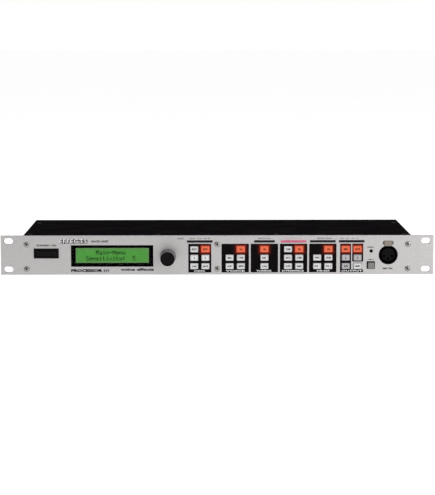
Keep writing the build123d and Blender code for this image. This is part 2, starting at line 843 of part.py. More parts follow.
def phono_socket():
    """Digital output socket: block, outer barrel and insulator with a centre hole."""
    z = main_board_top + phono_height
    end = rear_face + phono_barrel_length
    block = span(phono_x - phono_side / 2, phono_x + phono_side / 2, rear_inside - phono_depth, rear_inside,
                 main_board_top, z + phono_side / 2)
    neck_back = rear_face + phono_neck_length
    tube = rod(phono_x, z, phono_neck_radius, rear_inside, neck_back)
    tube += rod(phono_x, z, phono_barrel_radius, neck_back, end)
    tube -= rod(phono_x, z, phono_barrel_radius - phono_wall, rear_inside, end)
    insulator = rod(phono_x, z, phono_barrel_radius - phono_wall, rear_inside, end - 0.4)
    insulator -= rod(phono_x, z, phono_pin_radius, rear_inside + 0.5, end)
    return [block, tube, insulator]


def jack_sockets():
    """Four quarter-inch jack sockets, each with its thread and nut through the rear panel."""
    pieces = []
    z = main_board_top + jack_side / 2
    end = rear_face + jack_thread_length
    for x in jack_places():
        body = slab(x, z, jack_side, jack_side, rear_inside - jack_depth, rear_inside)
        body += rod(x, z, jack_thread_radius, rear_inside, end)
        pieces.append(body - rod(x, z, jack_bore_radius, end - jack_bore_depth, end))
        bore = jack_thread_radius + shaft_press_gap
        pieces.append(hex_nut(x, z, jack_nut_across, bore, rear_face, rear_face + jack_nut_height))
    return pieces


def save(name, shape):
    """Writes one sub-part."""
    pieces = shape if isinstance(shape, list) else [shape]
    solids = [solid for piece in pieces for solid in piece.solids()]
    export_step(Compound(children=solids), os.path.join("parts", name + ".step"))


os.makedirs("parts", exist_ok=True)
for part in (
    front_panel, chassis_tray, rear_panel, top_cover, panel_screws, case_screws,
    key_bezel, key_switches, key_board, indicator_lamps,
    display_window, display_cell, display_board,
    power_switch_housing, power_button, phantom_button,
    data_knob, encoder, mic_socket_shell, mic_socket_insert, mic_latch,
    main_board, board_standoffs, board_components, mains_transformer,
    mains_inlet, midi_sockets, phono_socket, jack_sockets,
):
    save(part.__name__, part())
for name in fields:
    for number, place in enumerate(key_places(name), start=1):
        save(f"key_{name}_{number}", key(*place))
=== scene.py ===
import math

import bmesh
import bpy
from mathutils import Matrix, Vector


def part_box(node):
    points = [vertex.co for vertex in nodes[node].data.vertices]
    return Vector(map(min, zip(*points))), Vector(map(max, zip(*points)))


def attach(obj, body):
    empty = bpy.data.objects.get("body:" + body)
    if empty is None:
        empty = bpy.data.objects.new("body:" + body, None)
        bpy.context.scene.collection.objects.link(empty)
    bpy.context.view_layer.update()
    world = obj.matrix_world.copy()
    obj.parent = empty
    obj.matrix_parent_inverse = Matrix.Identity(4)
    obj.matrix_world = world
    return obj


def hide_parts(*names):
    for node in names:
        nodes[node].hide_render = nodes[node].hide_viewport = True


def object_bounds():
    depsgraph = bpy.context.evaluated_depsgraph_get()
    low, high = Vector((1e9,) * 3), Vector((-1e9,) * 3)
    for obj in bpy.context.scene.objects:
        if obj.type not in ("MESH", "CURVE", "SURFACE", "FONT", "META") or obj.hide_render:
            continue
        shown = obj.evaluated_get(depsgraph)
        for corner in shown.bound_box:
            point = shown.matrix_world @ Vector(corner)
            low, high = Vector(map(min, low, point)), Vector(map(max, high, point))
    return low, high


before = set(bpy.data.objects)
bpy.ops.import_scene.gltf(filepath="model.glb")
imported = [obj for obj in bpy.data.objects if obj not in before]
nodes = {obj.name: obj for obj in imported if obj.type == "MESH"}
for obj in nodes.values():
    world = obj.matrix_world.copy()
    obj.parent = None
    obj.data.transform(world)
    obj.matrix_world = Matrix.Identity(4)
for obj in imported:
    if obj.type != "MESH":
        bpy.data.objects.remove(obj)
cadLow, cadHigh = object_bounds()
mm = 0.001
quarterTurn = math.pi / 2
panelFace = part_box("front_panel")[0].y
print("frame loaded:", len(nodes), "nodes")


# small tools
def linear(colour, alpha=1.0):
    # sRGB hex to the linear values that the shaders want
    values = [int(colour[i:i + 2], 16) / 255 for i in (1, 3, 5)]
    return tuple(v / 12.92 if v <= 0.04045 else ((v + 0.055) / 1.055) ** 2.4 for v in values) + (alpha,)


def addNode(tree, kind, inputs=None, stops=None, **settings):
    # one node, its settings, and for each input a value or the socket that feeds it; stops are a ramp's
    # (position, colour) pairs
    node = tree.nodes.new(kind)
    for name, value in settings.items():
        setattr(node, name, value)
    if stops:
        for element, (position, colour) in zip(node.color_ramp.elements, stops):
            element.color, element.position = linear(colour), position
    for socket, value in (inputs or {}).items():
        if isinstance(value, bpy.types.NodeSocket):
            tree.links.new(value, node.inputs[socket])
        else:
            node.inputs[socket].default_value = value
    return node


def newMaterial(name, values):
    material = bpy.data.materials.new(name)
    material.use_nodes = True
    tree = material.node_tree
    shader = tree.nodes["Principled BSDF"]
    for socket, value in values.items():
        shader.inputs[socket].default_value = value
    return material, tree, shader


def mottle(tree, shader, colours, size, bump=0.0, depth=0.02 * mm, gloss=None, stretch=(1, 1, 1)):
    # soft variation of the base colour and an even bump from one noise of the given grain size, and where gloss
    # is given, a slow change of roughness between its two values, as handling leaves it
    place = addNode(tree, "ShaderNodeTexCoord").outputs["Object"]
    grained = addNode(tree, "ShaderNodeMapping", {"Vector": place, "Scale": stretch}).outputs["Vector"]
    noise = addNode(tree, "ShaderNodeTexNoise", {"Vector": grained, "Scale": 1 / size, "Detail": 2.0})
    ramp = addNode(tree, "ShaderNodeValToRGB", {"Fac": noise.outputs["Fac"]}, zip((0.3, 0.7), colours))
    tree.links.new(ramp.outputs["Color"], shader.inputs["Base Color"])
    if bump:
        relief = addNode(tree, "ShaderNodeBump", {"Height": noise.outputs["Fac"], "Strength": bump, "Distance": depth})
        tree.links.new(relief.outputs["Normal"], shader.inputs["Normal"])
    if gloss:
        smears = addNode(tree, "ShaderNodeTexNoise", {"Vector": place, "Scale": 1 / (28 * mm), "Detail": 3.0})
        worn = addNode(tree, "ShaderNodeMapRange", {
            "Value": smears.outputs["Fac"], "From Min": 0.3, "From Max": 0.7, "To Min": gloss[0], "To Max": gloss[1]})
        tree.links.new(worn.outputs["Result"], shader.inputs["Roughness"])
    return noise


def addObject(name, data):
    thing = bpy.data.objects.new(name, data)
    bpy.context.scene.collection.objects.link(thing)
    return thing


def smooth(mesh, angle):
    mesh.shade_smooth()
    mesh.set_sharp_from_angle(angle=math.radians(angle))


def bmeshOf(mesh):
    bm = bmesh.new()
    bm.from_mesh(mesh)
    return bm


def flatMiddle(low, high):
    # a box's middle in the panel's plane
    return (low.x + high.x) / 2, (low.z + high.z) / 2


def onCircle(centre, radius, turn):
    return centre[0] + radius * math.cos(turn), centre[1] + radius * math.sin(turn)


def joinRings(bm, a, b, material=0):
    for i in range(len(a)):
        j = (i + 1) % len(a)
        bm.faces.new((a[i], a[j], b[j], b[i])).material_index = material


def meshPiece(name, bm, materials, angle=35):
    # the bmesh as an object at the origin, closed, facing outwards and smooth up to the given angle
    bmesh.ops.remove_doubles(bm, verts=bm.verts, dist=1e-7)
    bmesh.ops.recalc_face_normals(bm, faces=bm.faces)
    mesh = bpy.data.meshes.new(name)
    bm.to_mesh(mesh)
    bm.free()
    for material in materials:
        mesh.materials.append(material)
    smooth(mesh, angle)
    return addObject(name, mesh)


def keep(piece, body, *replaced, slot=None):
    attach(piece, body)
    if replaced:
        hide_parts(*replaced)
    return piece


def addLoft(bm, centre, size, corner, levels, material=0, steps=5):
    # rounded rectangles in the panel's plane, joined from level to level; each level is (inset, y)
    loops = []
    for inset, y in levels:
        halfX, halfZ = size[0] / 2 - inset, size[1] / 2 - inset
        radius = min(max(corner - inset, 0.02 * mm), halfX * 0.999, halfZ * 0.999)
        loop = []
        for quarter, (sx, sz) in enumerate(((1, 1), (-1, 1), (-1, -1), (1, -1))):
            for step in range(steps + 1):
                turn = quarterTurn * (quarter + step / steps)
                x = centre[0] + sx * (halfX - radius) + radius * math.cos(turn)
                z = centre[1] + sz * (halfZ - radius) + radius * math.sin(turn)
                loop.append(bm.verts.new((x, y, z)))
        loops.append(loop)
    for end in (loops[0], loops[-1]):
        bm.faces.new(end).material_index = material
    for a, b in zip(loops, loops[1:]):
        joinRings(bm, a, b, material)


def addLathe(bm, centre, profile, material=0, steps=64, closed=False):
    # a profile of (radius, y) turned about the line along Y through centre
    rings = []
    for radius, y in profile:
        count = steps if radius > 0 else 1
        corners = [onCircle(centre, radius, 2 * math.pi * i / count) for i in range(count)]
        rings.append([bm.verts.new((x, y, z)) for x, z in corners])
    pairs = list(zip(rings, rings[1:])) + ([(rings[-1], rings[0])] if closed else [])
    for a, b in pairs:
        for i in range(steps):
            j = (i + 1) % steps
            corners = []
            for vert in (a[i % len(a)], a[j % len(a)], b[j % len(b)], b[i % len(b)]):
                if vert not in corners:
                    corners.append(vert)
            if len(corners) > 2:
                bm.faces.new(corners).material_index = material


def addText(bm, words, centre, y, height, width=None, material=0, depth=0.03 * mm, grow=0.0, rear=False):
    # words as raised ink: cap height, the width that they are fitted to, and how much the strokes are thickened
    data = bpy.data.curves.new("words", "FONT")
    data.body, data.align_x, data.align_y = words, "CENTER", "CENTER"
    data.resolution_u, data.offset, data.extrude = 2, grow, 0.5
    words3d = bpy.data.objects.new("words", data)
    mesh = bpy.data.meshes.new_from_object(words3d)
    corners = [v.co for v in mesh.vertices]
    low = Vector([min(c[i] for c in corners) for i in range(3)])
    high = Vector([max(c[i] for c in corners) for i in range(3)])
    scaleZ = height / (high.y - low.y)
    scaleX = width / (high.x - low.x) if width else scaleZ
    side = -1 if rear else 1
    middle = (low + high) / 2
    for vert in mesh.vertices:
        x, up, out = vert.co - middle
        vert.co = (centre[0] + side * x * scaleX, y - side * (out + 0.5) * depth, centre[1] + up * scaleZ)
    first = len(bm.faces)
    bm.from_mesh(mesh)
    bm.faces.ensure_lookup_table()
    for face in bm.faces[first:]:
        face.material_index = material
    bpy.data.objects.remove(words3d)
    bpy.data.curves.remove(data)
    bpy.data.meshes.remove(mesh)


def splitNode(node):
    # a CAD node as a bmesh, and for each of its separate solids the vertices, lowest corner and highest corner
    bm = bmeshOf(nodes[node].data)
    bmesh.ops.remove_doubles(bm, verts=bm.verts, dist=1e-6)
    left, solids = set(bm.verts), []
    while left:
        group, queue = set(), [left.pop()]
        while queue:
            vert = queue.pop()
            group.add(vert)
            for edge in vert.link_edges:
                other = edge.other_vert(vert)
                if other in left:
                    left.remove(other)
                    queue.append(other)
        low, high = (Vector([end(v.co[i] for v in group) for i in range(3)]) for end in (min, max))
        solids.append((group, low, high))
    return bm, solids


def solidsOf(node):
    # lowest and highest corner of each separate solid of a CAD node, from left to right, then up, then back
    bm, solids = splitNode(node)
    boxes = [(low, high) for _, low, high in solids]
    bm.free()
    return sorted(boxes, key=lambda b: (round(b[0].x, 4), b[0].z, b[0].y))


def scatterTree():
    # copies of one unit on the points, each turned about its own axis by a seeded random angle
    tree = bpy.data.node_groups.new("scatterUnits", "GeometryNodeTree")
    sockets = {"Points": "Geometry", "Unit": "Object", "Tilt": "Vector", "Most turn": "Float", "Seed": "Int",
               "Finish": "Material"}
    for name, kind in sockets.items():
        tree.interface.new_socket(name=name, in_out="INPUT", socket_type="NodeSocket" + kind)
    tree.interface.new_socket(name="Geometry", in_out="OUTPUT", socket_type="NodeSocketGeometry")
    given = addNode(tree, "NodeGroupInput").outputs
    unit = addNode(tree, "GeometryNodeObjectInfo", {"Object": given["Unit"]})
    copies = addNode(tree, "GeometryNodeInstanceOnPoints", {
        "Points": given["Points"], "Instance": unit.outputs["Geometry"], "Rotation": given["Tilt"]})
    angle = addNode(tree, "FunctionNodeRandomValue", {3: given["Most turn"], "Seed": given["Seed"]}, data_type="FLOAT")
    spin = addNode(tree, "ShaderNodeCombineXYZ", {"Z": angle.outputs[1]})
    turned = addNode(tree, "GeometryNodeRotateInstances", {
        "Instances": copies.outputs["Instances"], "Rotation": spin.outputs["Vector"]})
    real = addNode(tree, "GeometryNodeRealizeInstances", {"Geometry": turned.outputs["Instances"]})
    finished = addNode(tree, "GeometryNodeSetMaterial", {
        "Geometry": real.outputs["Geometry"], "Material": given["Finish"]})
    addNode(tree, "NodeGroupOutput", {"Geometry": finished.outputs["Geometry"]})
    return tree


unitScatter = scatterTree()


def growUnits(name, tree, points, wanted):
    # runs a tree on the given points and keeps its result as a plain mesh at the origin
    mesh = bpy.data.meshes.new(name)
    mesh.from_pydata(points, [], [])
    holder = addObject(name + "Points", mesh)
    modifier = holder.modifiers.new("units", "NODES")
    modifier.node_group = tree
    for item in tree.interface.items_tree:
        if item.in_out == "INPUT" and item.name in wanted:
            modifier[item.identifier] = wanted[item.name]
    evaluated = holder.evaluated_get(bpy.context.evaluated_depsgraph_get())
    made = bpy.data.meshes.new_from_object(evaluated)
    made.name = name
    bpy.data.objects.remove(holder)
    return addObject(name, made)


def scatter(name, unit, points, finish, tilt=(0, 0, 0), mostTurn=0.0, seed=1):
    return growUnits(name, unitScatter, points, {
        "Unit": unit, "Tilt": tilt, "Most turn": mostTurn, "Seed": seed, "Finish": finish})


def cutAway(piece, tools, angle=32):
    # takes the tool shapes out of a piece and removes them
    for tool in tools:
        cut = piece.modifiers.new("cut", "BOOLEAN")
        cut.object, cut.operation, cut.solver, cut.use_self = tool, "DIFFERENCE", "EXACT", True
    made = bpy.data.meshes.new_from_object(piece.evaluated_get(bpy.context.evaluated_depsgraph_get()))
    smooth(made, angle)
    finished = addObject(piece.name + "Cut", made)
    for spare in [piece] + tools:
        bpy.data.objects.remove(spare)
    return finished


def solidCopies(node, body, slot, finishes):
    # each solid of a CAD node with its own finish: finishes maps a new piece's name to (material, test of its box)
    source, solids = splitNode(node)
    groups = {name: set() for name in finishes}
    for group, low, high in solids:
        for name, (_, test) in finishes.items():
            if test(low, high, high - low):
                groups[name] |= group
                break
    pieces = []
    for name, (material, _) in finishes.items():
        bm = source.copy()
        bm.verts.ensure_lookup_table()
        kept = {v.index for v in groups[name]}
        bmesh.ops.delete(bm, geom=[v for v in bm.verts if v.index not in kept], context="VERTS")
        mesh = bpy.data.meshes.new(name)
        bm.to_mesh(mesh)
        bm.free()
        mesh.materials.append(material)
        smooth(mesh, 28)
        pieces.append(addObject(name, mesh))
    source.free()
    for piece in pieces:
        keep(piece, body, node, slot=slot)


# finishes
# what each is, then: shader values, two colours, grain in mm, and how mottle is to treat it
finishTable = {
    # glass-blasted sheet, clear anodised: satin grey with a faint grain along the sheet
    "blastedAnodisedAluminium": ({"Metallic": 1.0, "Roughness": 0.44}, ("#bab7b7", "#c3c0c0"), 0.9,
                                 {"bump": 0.12, "gloss": (0.40, 0.48), "stretch": (0.35, 1, 1)}),
    # black powder coat with a fine orange peel, nearly dead matt
    "powderCoatedSteel": ({"Specular IOR Level": 0.008}, ("#060406", "#0d090c"), 1.1,
                          {"bump": 0.5, "depth": 0.08 * mm, "gloss": (0.5, 0.7)}),
    # bright nickel on pressed steel, a little dulled
    "nickelPlatedSteel": ({"Metallic": 1.0, "Roughness": 0.3}, ("#95928f", "#a4a19e"), 0.5, {"bump": 0.05}),
    # blackened screw with a slight oily sheen
    "blackOxideSteel": ({"Metallic": 0.6, "Roughness": 0.38}, ("#1c1b1c", "#2a292a"), 0.4, {"bump": 0.08}),
    # black nylon, tool-polished: smooth enough to catch a light along its edges
    "mouldedBlackNylon": ({"Specular IOR Level": 0.07}, ("#09080a", "#0e0d0f"), 0.4,
                          {"bump": 0.1, "gloss": (0.28, 0.4)}),
    # the same nylon deep in a socket's mouth, matt and unlit
    "mattBlackNylon": ({"Roughness": 0.7, "Specular IOR Level": 0.06}, ("#0b090b", "#100e10"), 0.4, {"bump": 0.2}),
    # rubbery black coating of the data knob, slightly browned by handling
    "softTouchCoating": ({"Specular IOR Level": 0.06}, ("#0c0a0b", "#131011"), 0.5,
                         {"bump": 0.2, "gloss": (0.6, 0.75)}),
    # turned aluminium side and skirt of the knob, grey anodised
    "greyAnodisedGrip": ({"Metallic": 0.85, "Roughness": 0.42}, ("#6f6d6e", "#7b797a"), 0.4,
                         {"bump": 0.1, "stretch": (1, 0.2, 1)}),
    # mid-grey ABS cap
    "mouldedGreyAbs": ({"Specular IOR Level": 0.3}, ("#716f6e", "#7a7877"), 0.4, {"bump": 0.2, "gloss": (0.42, 0.55)}),
    # cast zinc housing of the encoder, dull
    "dieCastZinc": ({"Metallic": 0.9, "Roughness": 0.45}, ("#8b8d90", "#9a9c9f"), 1.2, {"bump": 0.2}),
    # turned brass, untreated
    "turnedBrass": ({"Metallic": 1.0, "Roughness": 0.3}, ("#b08d4a", "#c4a25c"), 0.6,
                    {"bump": 0.08, "stretch": (1, 1, 0.15)}),
    # silvered spring bronze deep in the microphone socket, darkened as painted shade for its depth there
    "tarnishedContact": ({"Metallic": 0.9, "Roughness": 0.5}, ("#3a3634", "#4a4542"), 0.5, {"bump": 0.05}),
    # thin gold over nickel on contacts
    "goldPlatedContact": ({"Metallic": 1.0, "Roughness": 0.3}, ("#a98546", "#b99552"), 0.5, {"bump": 0.05}),
    # punched sheets of silicon steel pressed into one core: fine parallel lines
    "laminatedSteel": ({"Metallic": 0.8, "Roughness": 0.5}, ("#3c3d40", "#686a6e"), 0.9,
                       {"bump": 0.4, "depth": 0.1 * mm, "stretch": (0.05, 1, 0.05)}),
    # polyester tape over the winding, slightly glossy amber
    "windingTape": ({"Specular IOR Level": 0.4}, ("#b58a2c", "#c79a38"), 3.0, {"bump": 0.2, "gloss": (0.25, 0.4)}),
    # black filled epoxy of a chip, fine sandy matt
    "chipEpoxy": ({"Roughness": 0.6, "Specular IOR Level": 0.3}, ("#1b1b1d", "#242426"), 0.3, {"bump": 0.3}),
    # shrunk sleeve of an electrolytic capacitor
    "capacitorSleeve": ({"Specular IOR Level": 0.4}, ("#16203a", "#1d2a48"), 4.0, {"gloss": (0.25, 0.4)}),
    # natural nylon of the ribbon's plugs
    "naturalNylon": ({"Roughness": 0.45, "Subsurface Weight": 0.1, "Subsurface Scale": 0.5 * mm},
                     ("#d8d2c0", "#e2dccb"), 1.0, {"bump": 0.1}),
    # grey vinyl ribbon, its wires side by side
    "ribbonVinyl": ({"Roughness": 0.5}, ("#7c7f84", "#989ba0"), 1.27,
                    {"bump": 0.5, "depth": 0.2 * mm, "stretch": (1, 0, 0)}),
    # printed inks, with a trace of the screen's unevenness
    "greySilkscreenInk": ({"Roughness": 0.6, "Specular IOR Level": 0.2}, ("#2a2829", "#343233"), 0.25, {}),
    "whiteSilkscreenInk": ({"Roughness": 0.6, "Specular IOR Level": 0.2}, ("#ececec", "#f4f4f4"), 0.25, {}),
    "blackSilkscreenInk": ({"Roughness": 0.6, "Specular IOR Level": 0.05}, ("#0c0a0c", "#121012"), 0.25, {}),
    "roseSilkscreenInk": ({"Roughness": 0.6, "Specular IOR Level": 0.2}, ("#b58a94", "#c096a0"), 0.25, {}),
    # dark light bar, switched off
    "smokedAcrylic": ({"Roughness": 0.25, "Specular IOR Level": 0.12}, ("#15151a", "#202026"), 1.5, {}),
}


def makeFinish(name):
    values, colours, grain, treatment = finishTable[name]
    material, tree, shader = newMaterial(name, values)
    mottle(tree, shader, colours, grain * mm, **treatment)
    return material


finish = {name: makeFinish(name) for name in finishTable}


def translucentKey(name, colours, glow=None):
    # milky polycarbonate cap: palest in the middle of its face and darker towards its rounded rim, as painted shade; a
    # lamp behind it adds the glow's two colours
    material, tree, shader = newMaterial(name, {"Roughness": 0.4, "Specular IOR Level": 0.3})
    edge = addNode(tree, "ShaderNodeAttribute", attribute_name="edgeShare", attribute_type="GEOMETRY").outputs["Fac"]
    ramp = addNode(tree, "ShaderNodeValToRGB", {"Fac": edge}, zip((0.5, 1.0), colours))
    tree.links.new(ramp.outputs["Color"], shader.inputs["Base Color"])
    if glow:
        lamp = addNode(tree, "ShaderNodeValToRGB", {"Fac": edge}, zip((0.25, 0.95), glow))
        tree.links.new(lamp.outputs["Color"], shader.inputs["Emission Color"])
        shader.inputs["Emission Strength"].default_value = 0.92
    return material


def litMagentaAcrylic():
    # the light bar with its lamps on, seen through the diffuser
    material, tree, shader = newMaterial("litMagentaAcrylic", {"Roughness": 0.3, "Emission Strength": 0.7})
    noise = mottle(tree, shader, ("#70303f", "#80384a"), 2.4 * mm)
    ramp = addNode(tree, "ShaderNodeValToRGB", {"Fac": noise.outputs["Fac"]}, [(0.35, "#b04f69"), (0.65, "#c46784")])
    tree.links.new(ramp.outputs["Color"], shader.inputs["Emission Color"])
    return material


def solderMaskedBoard():
    # green epoxy-glass board: lacquer over copper tracks that run across it, with a few tinned pads
    material, tree, shader = newMaterial("solderMaskedFr4", {"Roughness": 0.35, "Specular IOR Level": 0.4})
    place = addNode(tree, "ShaderNodeTexCoord").outputs["Object"]
    tracks = addNode(tree, "ShaderNodeTexBrick", {
        "Vector": place, "Scale": 1.0, "Mortar Size": 0.35 * mm, "Brick Width": 11 * mm, "Row Height": 2.2 * mm,
        "Color1": linear("#12482c"), "Color2": linear("#164f31"), "Mortar": linear("#2c7a4c")})
    pads = addNode(tree, "ShaderNodeTexVoronoi", {"Vector": place, "Scale": 1 / (5.0 * mm), "Randomness": 0.7})
    isPad = addNode(tree, "ShaderNodeMath", {0: pads.outputs["Distance"], 1: 0.13}, operation="LESS_THAN").outputs[0]
    mixed = addNode(tree, "ShaderNodeMix", {"Factor": isPad, 6: tracks.outputs["Color"], 7: linear("#b9b6ae")},
                    data_type="RGBA")
    tree.links.new(mixed.outputs[2], shader.inputs["Base Color"])
    tree.links.new(isPad, shader.inputs["Metallic"])
    relief = addNode(tree, "ShaderNodeBump", {"Height": tracks.outputs["Fac"], "Strength": 0.3, "Distance": 0.03 * mm})
    tree.links.new(relief.outputs["Normal"], shader.inputs["Normal"])
    return material


board = solderMaskedBoard()
print("tools and finishes ready")

# camera and studio, first so that a short render shows the view
studio = {
    "cameraPlace": (-13.3 * mm, -2023.6 * mm, 255.0 * mm),
    "cameraTurn": (83.046, 0.038, -0.389),  # degrees about X, Y and Z
    "lens": 132.847,
    "floorHalf": 14.0,
    "floorGlow": 0.93,
    "worldForCamera": "#ffffff",
    "worldForObject": "#6a6a6a",
    # name: place, aim, size and power of each softbox
    "softboxes": {
        "overheadSoftbox": ((0.0, -0.4, 1.7), (0, 0, 0), (2.6, 1.4), 26),
        "rightFrontSoftbox": ((1.4, -1.5, 0.6), (0.15, 0, 0), (1.2, 1.0), 23),
        "leftFrontSoftbox": ((-1.7, -1.7, 0.8), (-0.1, 0, 0), (1.2, 1.0), 2),
    },
}
scene = bpy.context.scene
scene.view_settings.view_transform = "Standard"
cameraData = bpy.data.cameras.new("camera")
cameraData.lens, cameraData.sensor_width = studio["lens"], 36.0
cameraData.clip_end = 100.0
camera = addObject("camera", cameraData)
camera.location = studio["cameraPlace"]
camera.rotation_euler = [math.radians(a) for a in studio["cameraTurn"]]
scene.camera = camera

world = bpy.data.worlds.new("studioWorld")
scene.world = world
world.use_nodes = True
worldTree = world.node_tree
path = addNode(worldTree, "ShaderNodeLightPath")
shade = addNode(worldTree, "ShaderNodeMix", {
    "Factor": path.outputs["Is Camera Ray"], 6: linear(studio["worldForObject"]), 7: linear(studio["worldForCamera"]),
}, data_type="RGBA")
worldTree.links.new(shade.outputs[2], worldTree.nodes["Background"].inputs["Color"])

for lightName, (place, aim, size, power) in studio["softboxes"].items():
    data = bpy.data.lights.new(lightName, "AREA")
    data.shape, data.size, data.size_y, data.energy = "RECTANGLE", size[0], size[1], power
    light = addObject(lightName, data)
    light.location = place
    light.rotation_euler = (Vector(aim) - Vector(place)).to_track_quat("-Z", "Y").to_euler()


def addFloor():
    # pale sweep, lit from behind like a light table, so that it stays white out to the horizon
    bm = bmesh.new()
    half, low = studio["floorHalf"], cadLow.z
    bm.faces.new([bm.verts.new((x * half, y * half + 4, low)) for x, y in ((-1, -1), (1, -1), (1, 1), (-1, 1))])
    material, tree, shader = newMaterial("matteSweepPaper", {
        "Roughness": 0.9, "Specular IOR Level": 0.0, "Emission Color": linear("#ffffff"),
        "Emission Strength": studio["floorGlow"]})
    mottle(tree, shader, ("#9c9c9c", "#a4a4a4"), 0.4)
    meshPiece("floor", bm, [material])


addFloor()
print("camera, lights and floor ready")

# carried-over nodes and their finishes
def paint(material, *names):
    for name in names:
        nodes[name].data.materials.clear()
        nodes[name].data.materials.append(material)


nodeFinishes = {
    "blastedAnodisedAluminium": ("front_panel",),
    "powderCoatedSteel": ("chassis_tray", "rear_panel", "top_cover"),
    "mouldedBlackNylon": ("key_switches", "power_switch_housing", "power_button", "midi_sockets"),
    "mattBlackNylon": ("mic_socket_shell",),
    "turnedBrass": ("board_standoffs",),
}
for finishName, painted in nodeFinishes.items():
    paint(finish[finishName], *painted)
paint(board, "key_board", "display_board", "main_board")
print("case and boards finished")

# keys
keyCap = {
    "width": 8.9 * mm, "height": 6.7 * mm, "corner": 0.9 * mm,
    "flange": 0.6 * mm, "flangeThick": 1.0 * mm, "stem": 3.0 * mm, "stemLength": 3.4 * mm,
    # (inset, depth behind the front) from the rim over the rounded edge to the shallow dish
    "levels": [(0.0, 0.62), (0.04, 0.42), (0.14, 0.22), (0.3, 0.09), (0.52, 0.02), (0.8, 0.0), (1.3, 0.05),
               (2.1, 0.12)],
    "legendHeight": 2.3 * mm, "letterWidth": 1.6 * mm,
}
legends = {
    "control": ("EDIT", "BYP", "<", ">", "LOAD", "SAVE"),
    "voice": ("ON", "SRC", "TYPE", "LOW", "DRIVE"),
    "tuning": ("ON", "KEY", "SCALE"),
    "dynamics": ("COMP", "ON", "GATE", "KNEE", "RATIO", "GAIN"),
    "deesser": ("ON", "FREQ", "LEVEL", "EQ 1", "EQ 2"),
    "output": ("MIX", "MUTE", "L", "R", "AUX", "MAIN"),
}
litKeys = ("key_control_2", "key_voice_1", "key_tuning_1", "key_dynamics_2", "key_deesser_1", "key_output_1",
           "key_output_2")
greyKeys = ("key_output_3", "key_output_4", "key_output_5")
paintedSpillLength = 1.0 * mm  # over which the painted glow of a lit key on the bezel falls to a third
# the white and grey caps darken towards their edges: painted shade on the rounded rim
whiteKey = translucentKey("milkyPolycarbonateKey", ("#d6d5d6", "#aaa8aa"))
greyKey = translucentKey("greyPolycarbonateKey", ("#a9a7aa", "#8e8c90"))
litKey = translucentKey("litRedPolycarbonateKey", ("#52180e", "#6a3a34"), glow=("#ff7238", "#c8583c"))


def middleOf(node):
    return flatMiddle(*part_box(node))


def addKey(node, words):
    low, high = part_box(node)
    centre = middleOf(node)
    size = (keyCap["width"], keyCap["height"])
    front, back = low.y, high.y
    flangeBack = back - keyCap["stemLength"]
    flangeFront = flangeBack - keyCap["flangeThick"]
    bm = bmesh.new()
    levels = [(0.0, flangeFront)] + [(inset * mm, front + depth * mm) for inset, depth in keyCap["levels"]]
    addLoft(bm, centre, size, keyCap["corner"], levels)
    grown = [s + 2 * keyCap["flange"] for s in size]
    addLoft(bm, centre, grown, keyCap["corner"], [(0.0, flangeFront), (0.0, flangeBack)])
    stem = keyCap["stem"]
    addLoft(bm, centre, (stem, stem), 0.1 * mm, [(0.0, flangeBack), (0.0, back)])
    dish = front + keyCap["levels"][-1][1] * mm
    width = min(keyCap["letterWidth"] * len(words), size[0] - 2.0 * mm)
    addText(bm, words, centre, dish, keyCap["legendHeight"], width, material=1, grow=0.05)
    material = litKey if node in litKeys else greyKey if node in greyKeys else whiteKey
    piece = meshPiece(node + "Cap", bm, [material, finish["blackSilkscreenInk"]])
    share = piece.data.attributes.new("edgeShare", "FLOAT", "POINT")
    for i, vert in enumerate(piece.data.vertices):
        across = abs(vert.co.x - centre[0]) / (size[0] / 2)
        upward = abs(vert.co.z - centre[1]) / (size[1] / 2)
        share.data[i].value = min(max(across, upward), 1.0)
    keep(piece, node, node, slot="key_red" if node in litKeys else "key_white")


for field, words in legends.items():
    for number, word in enumerate(words, start=1):
        addKey(f"key_{field}_{number}", word)


def paintedGlowBezel():
    # fine-grained black ABS from a spark-eroded mould, with a painted glow on the face round each lit key, standing for
    # the spill of its light
    material, tree, shader = newMaterial("sparkedBlackAbs", {
        "Roughness": 0.6, "Specular IOR Level": 0.03, "Emission Strength": 1.0})
    mottle(tree, shader, ("#080608", "#0e0a0c"), 0.35 * mm, bump=0.25)
    place = addNode(tree, "ShaderNodeSeparateXYZ", {
        "Vector": addNode(tree, "ShaderNodeTexCoord").outputs["Object"]}).outputs
    glow = None
    for node in litKeys:
        x, z = middleOf(node)
        apart = {}
        for axis, middle, half in (("X", x, keyCap["width"] / 2), ("Z", z, keyCap["height"] / 2)):
            apart[axis] = place[axis]
            for step, value in (("SUBTRACT", middle), ("ABSOLUTE", 0.0), ("SUBTRACT", half), ("MAXIMUM", 0.0)):
                apart[axis] = addNode(tree, "ShaderNodeMath", {0: apart[axis], 1: value}, operation=step).outputs[0]
        distance = addNode(tree, "ShaderNodeVectorMath", {
            0: addNode(tree, "ShaderNodeCombineXYZ", apart).outputs[0]}, operation="LENGTH").outputs["Value"]
        faded = addNode(tree, "ShaderNodeMath", {0: distance, 1: -1 / paintedSpillLength}, operation="MULTIPLY").outputs[0]
        paintedSpill = addNode(tree, "ShaderNodeMath", {0: faded}, operation="EXPONENT").outputs[0]
        glow = addNode(tree, "ShaderNodeMath", {0: paintedSpill, 1: glow}, operation="ADD").outputs[0] if glow else paintedSpill
    # colour of the painted glow: light painted on a bezel that is no lamp
    ramp = addNode(tree, "ShaderNodeValToRGB", {"Fac": glow}, [(0.0, "#000000"), (1.0, "#a03018")])
    tree.links.new(ramp.outputs["Color"], shader.inputs["Emission Color"])
    return material


paint(paintedGlowBezel(), "key_bezel")
print("keys made")

# screws
screwHeads = {
    "panel": {"radius": 2.8 * mm, "height": 1.4 * mm, "slot": 3.3 * mm, "slotWidth": 0.95 * mm, "deep": 1.0 * mm},
    "case": {"radius": 2.8 * mm, "height": 0.7 * mm, "slot": 3.0 * mm, "slotWidth": 0.8 * mm, "deep": 0.5 * mm},
}
nickel, oxide = finish["nickelPlatedSteel"], finish["blackOxideSteel"]


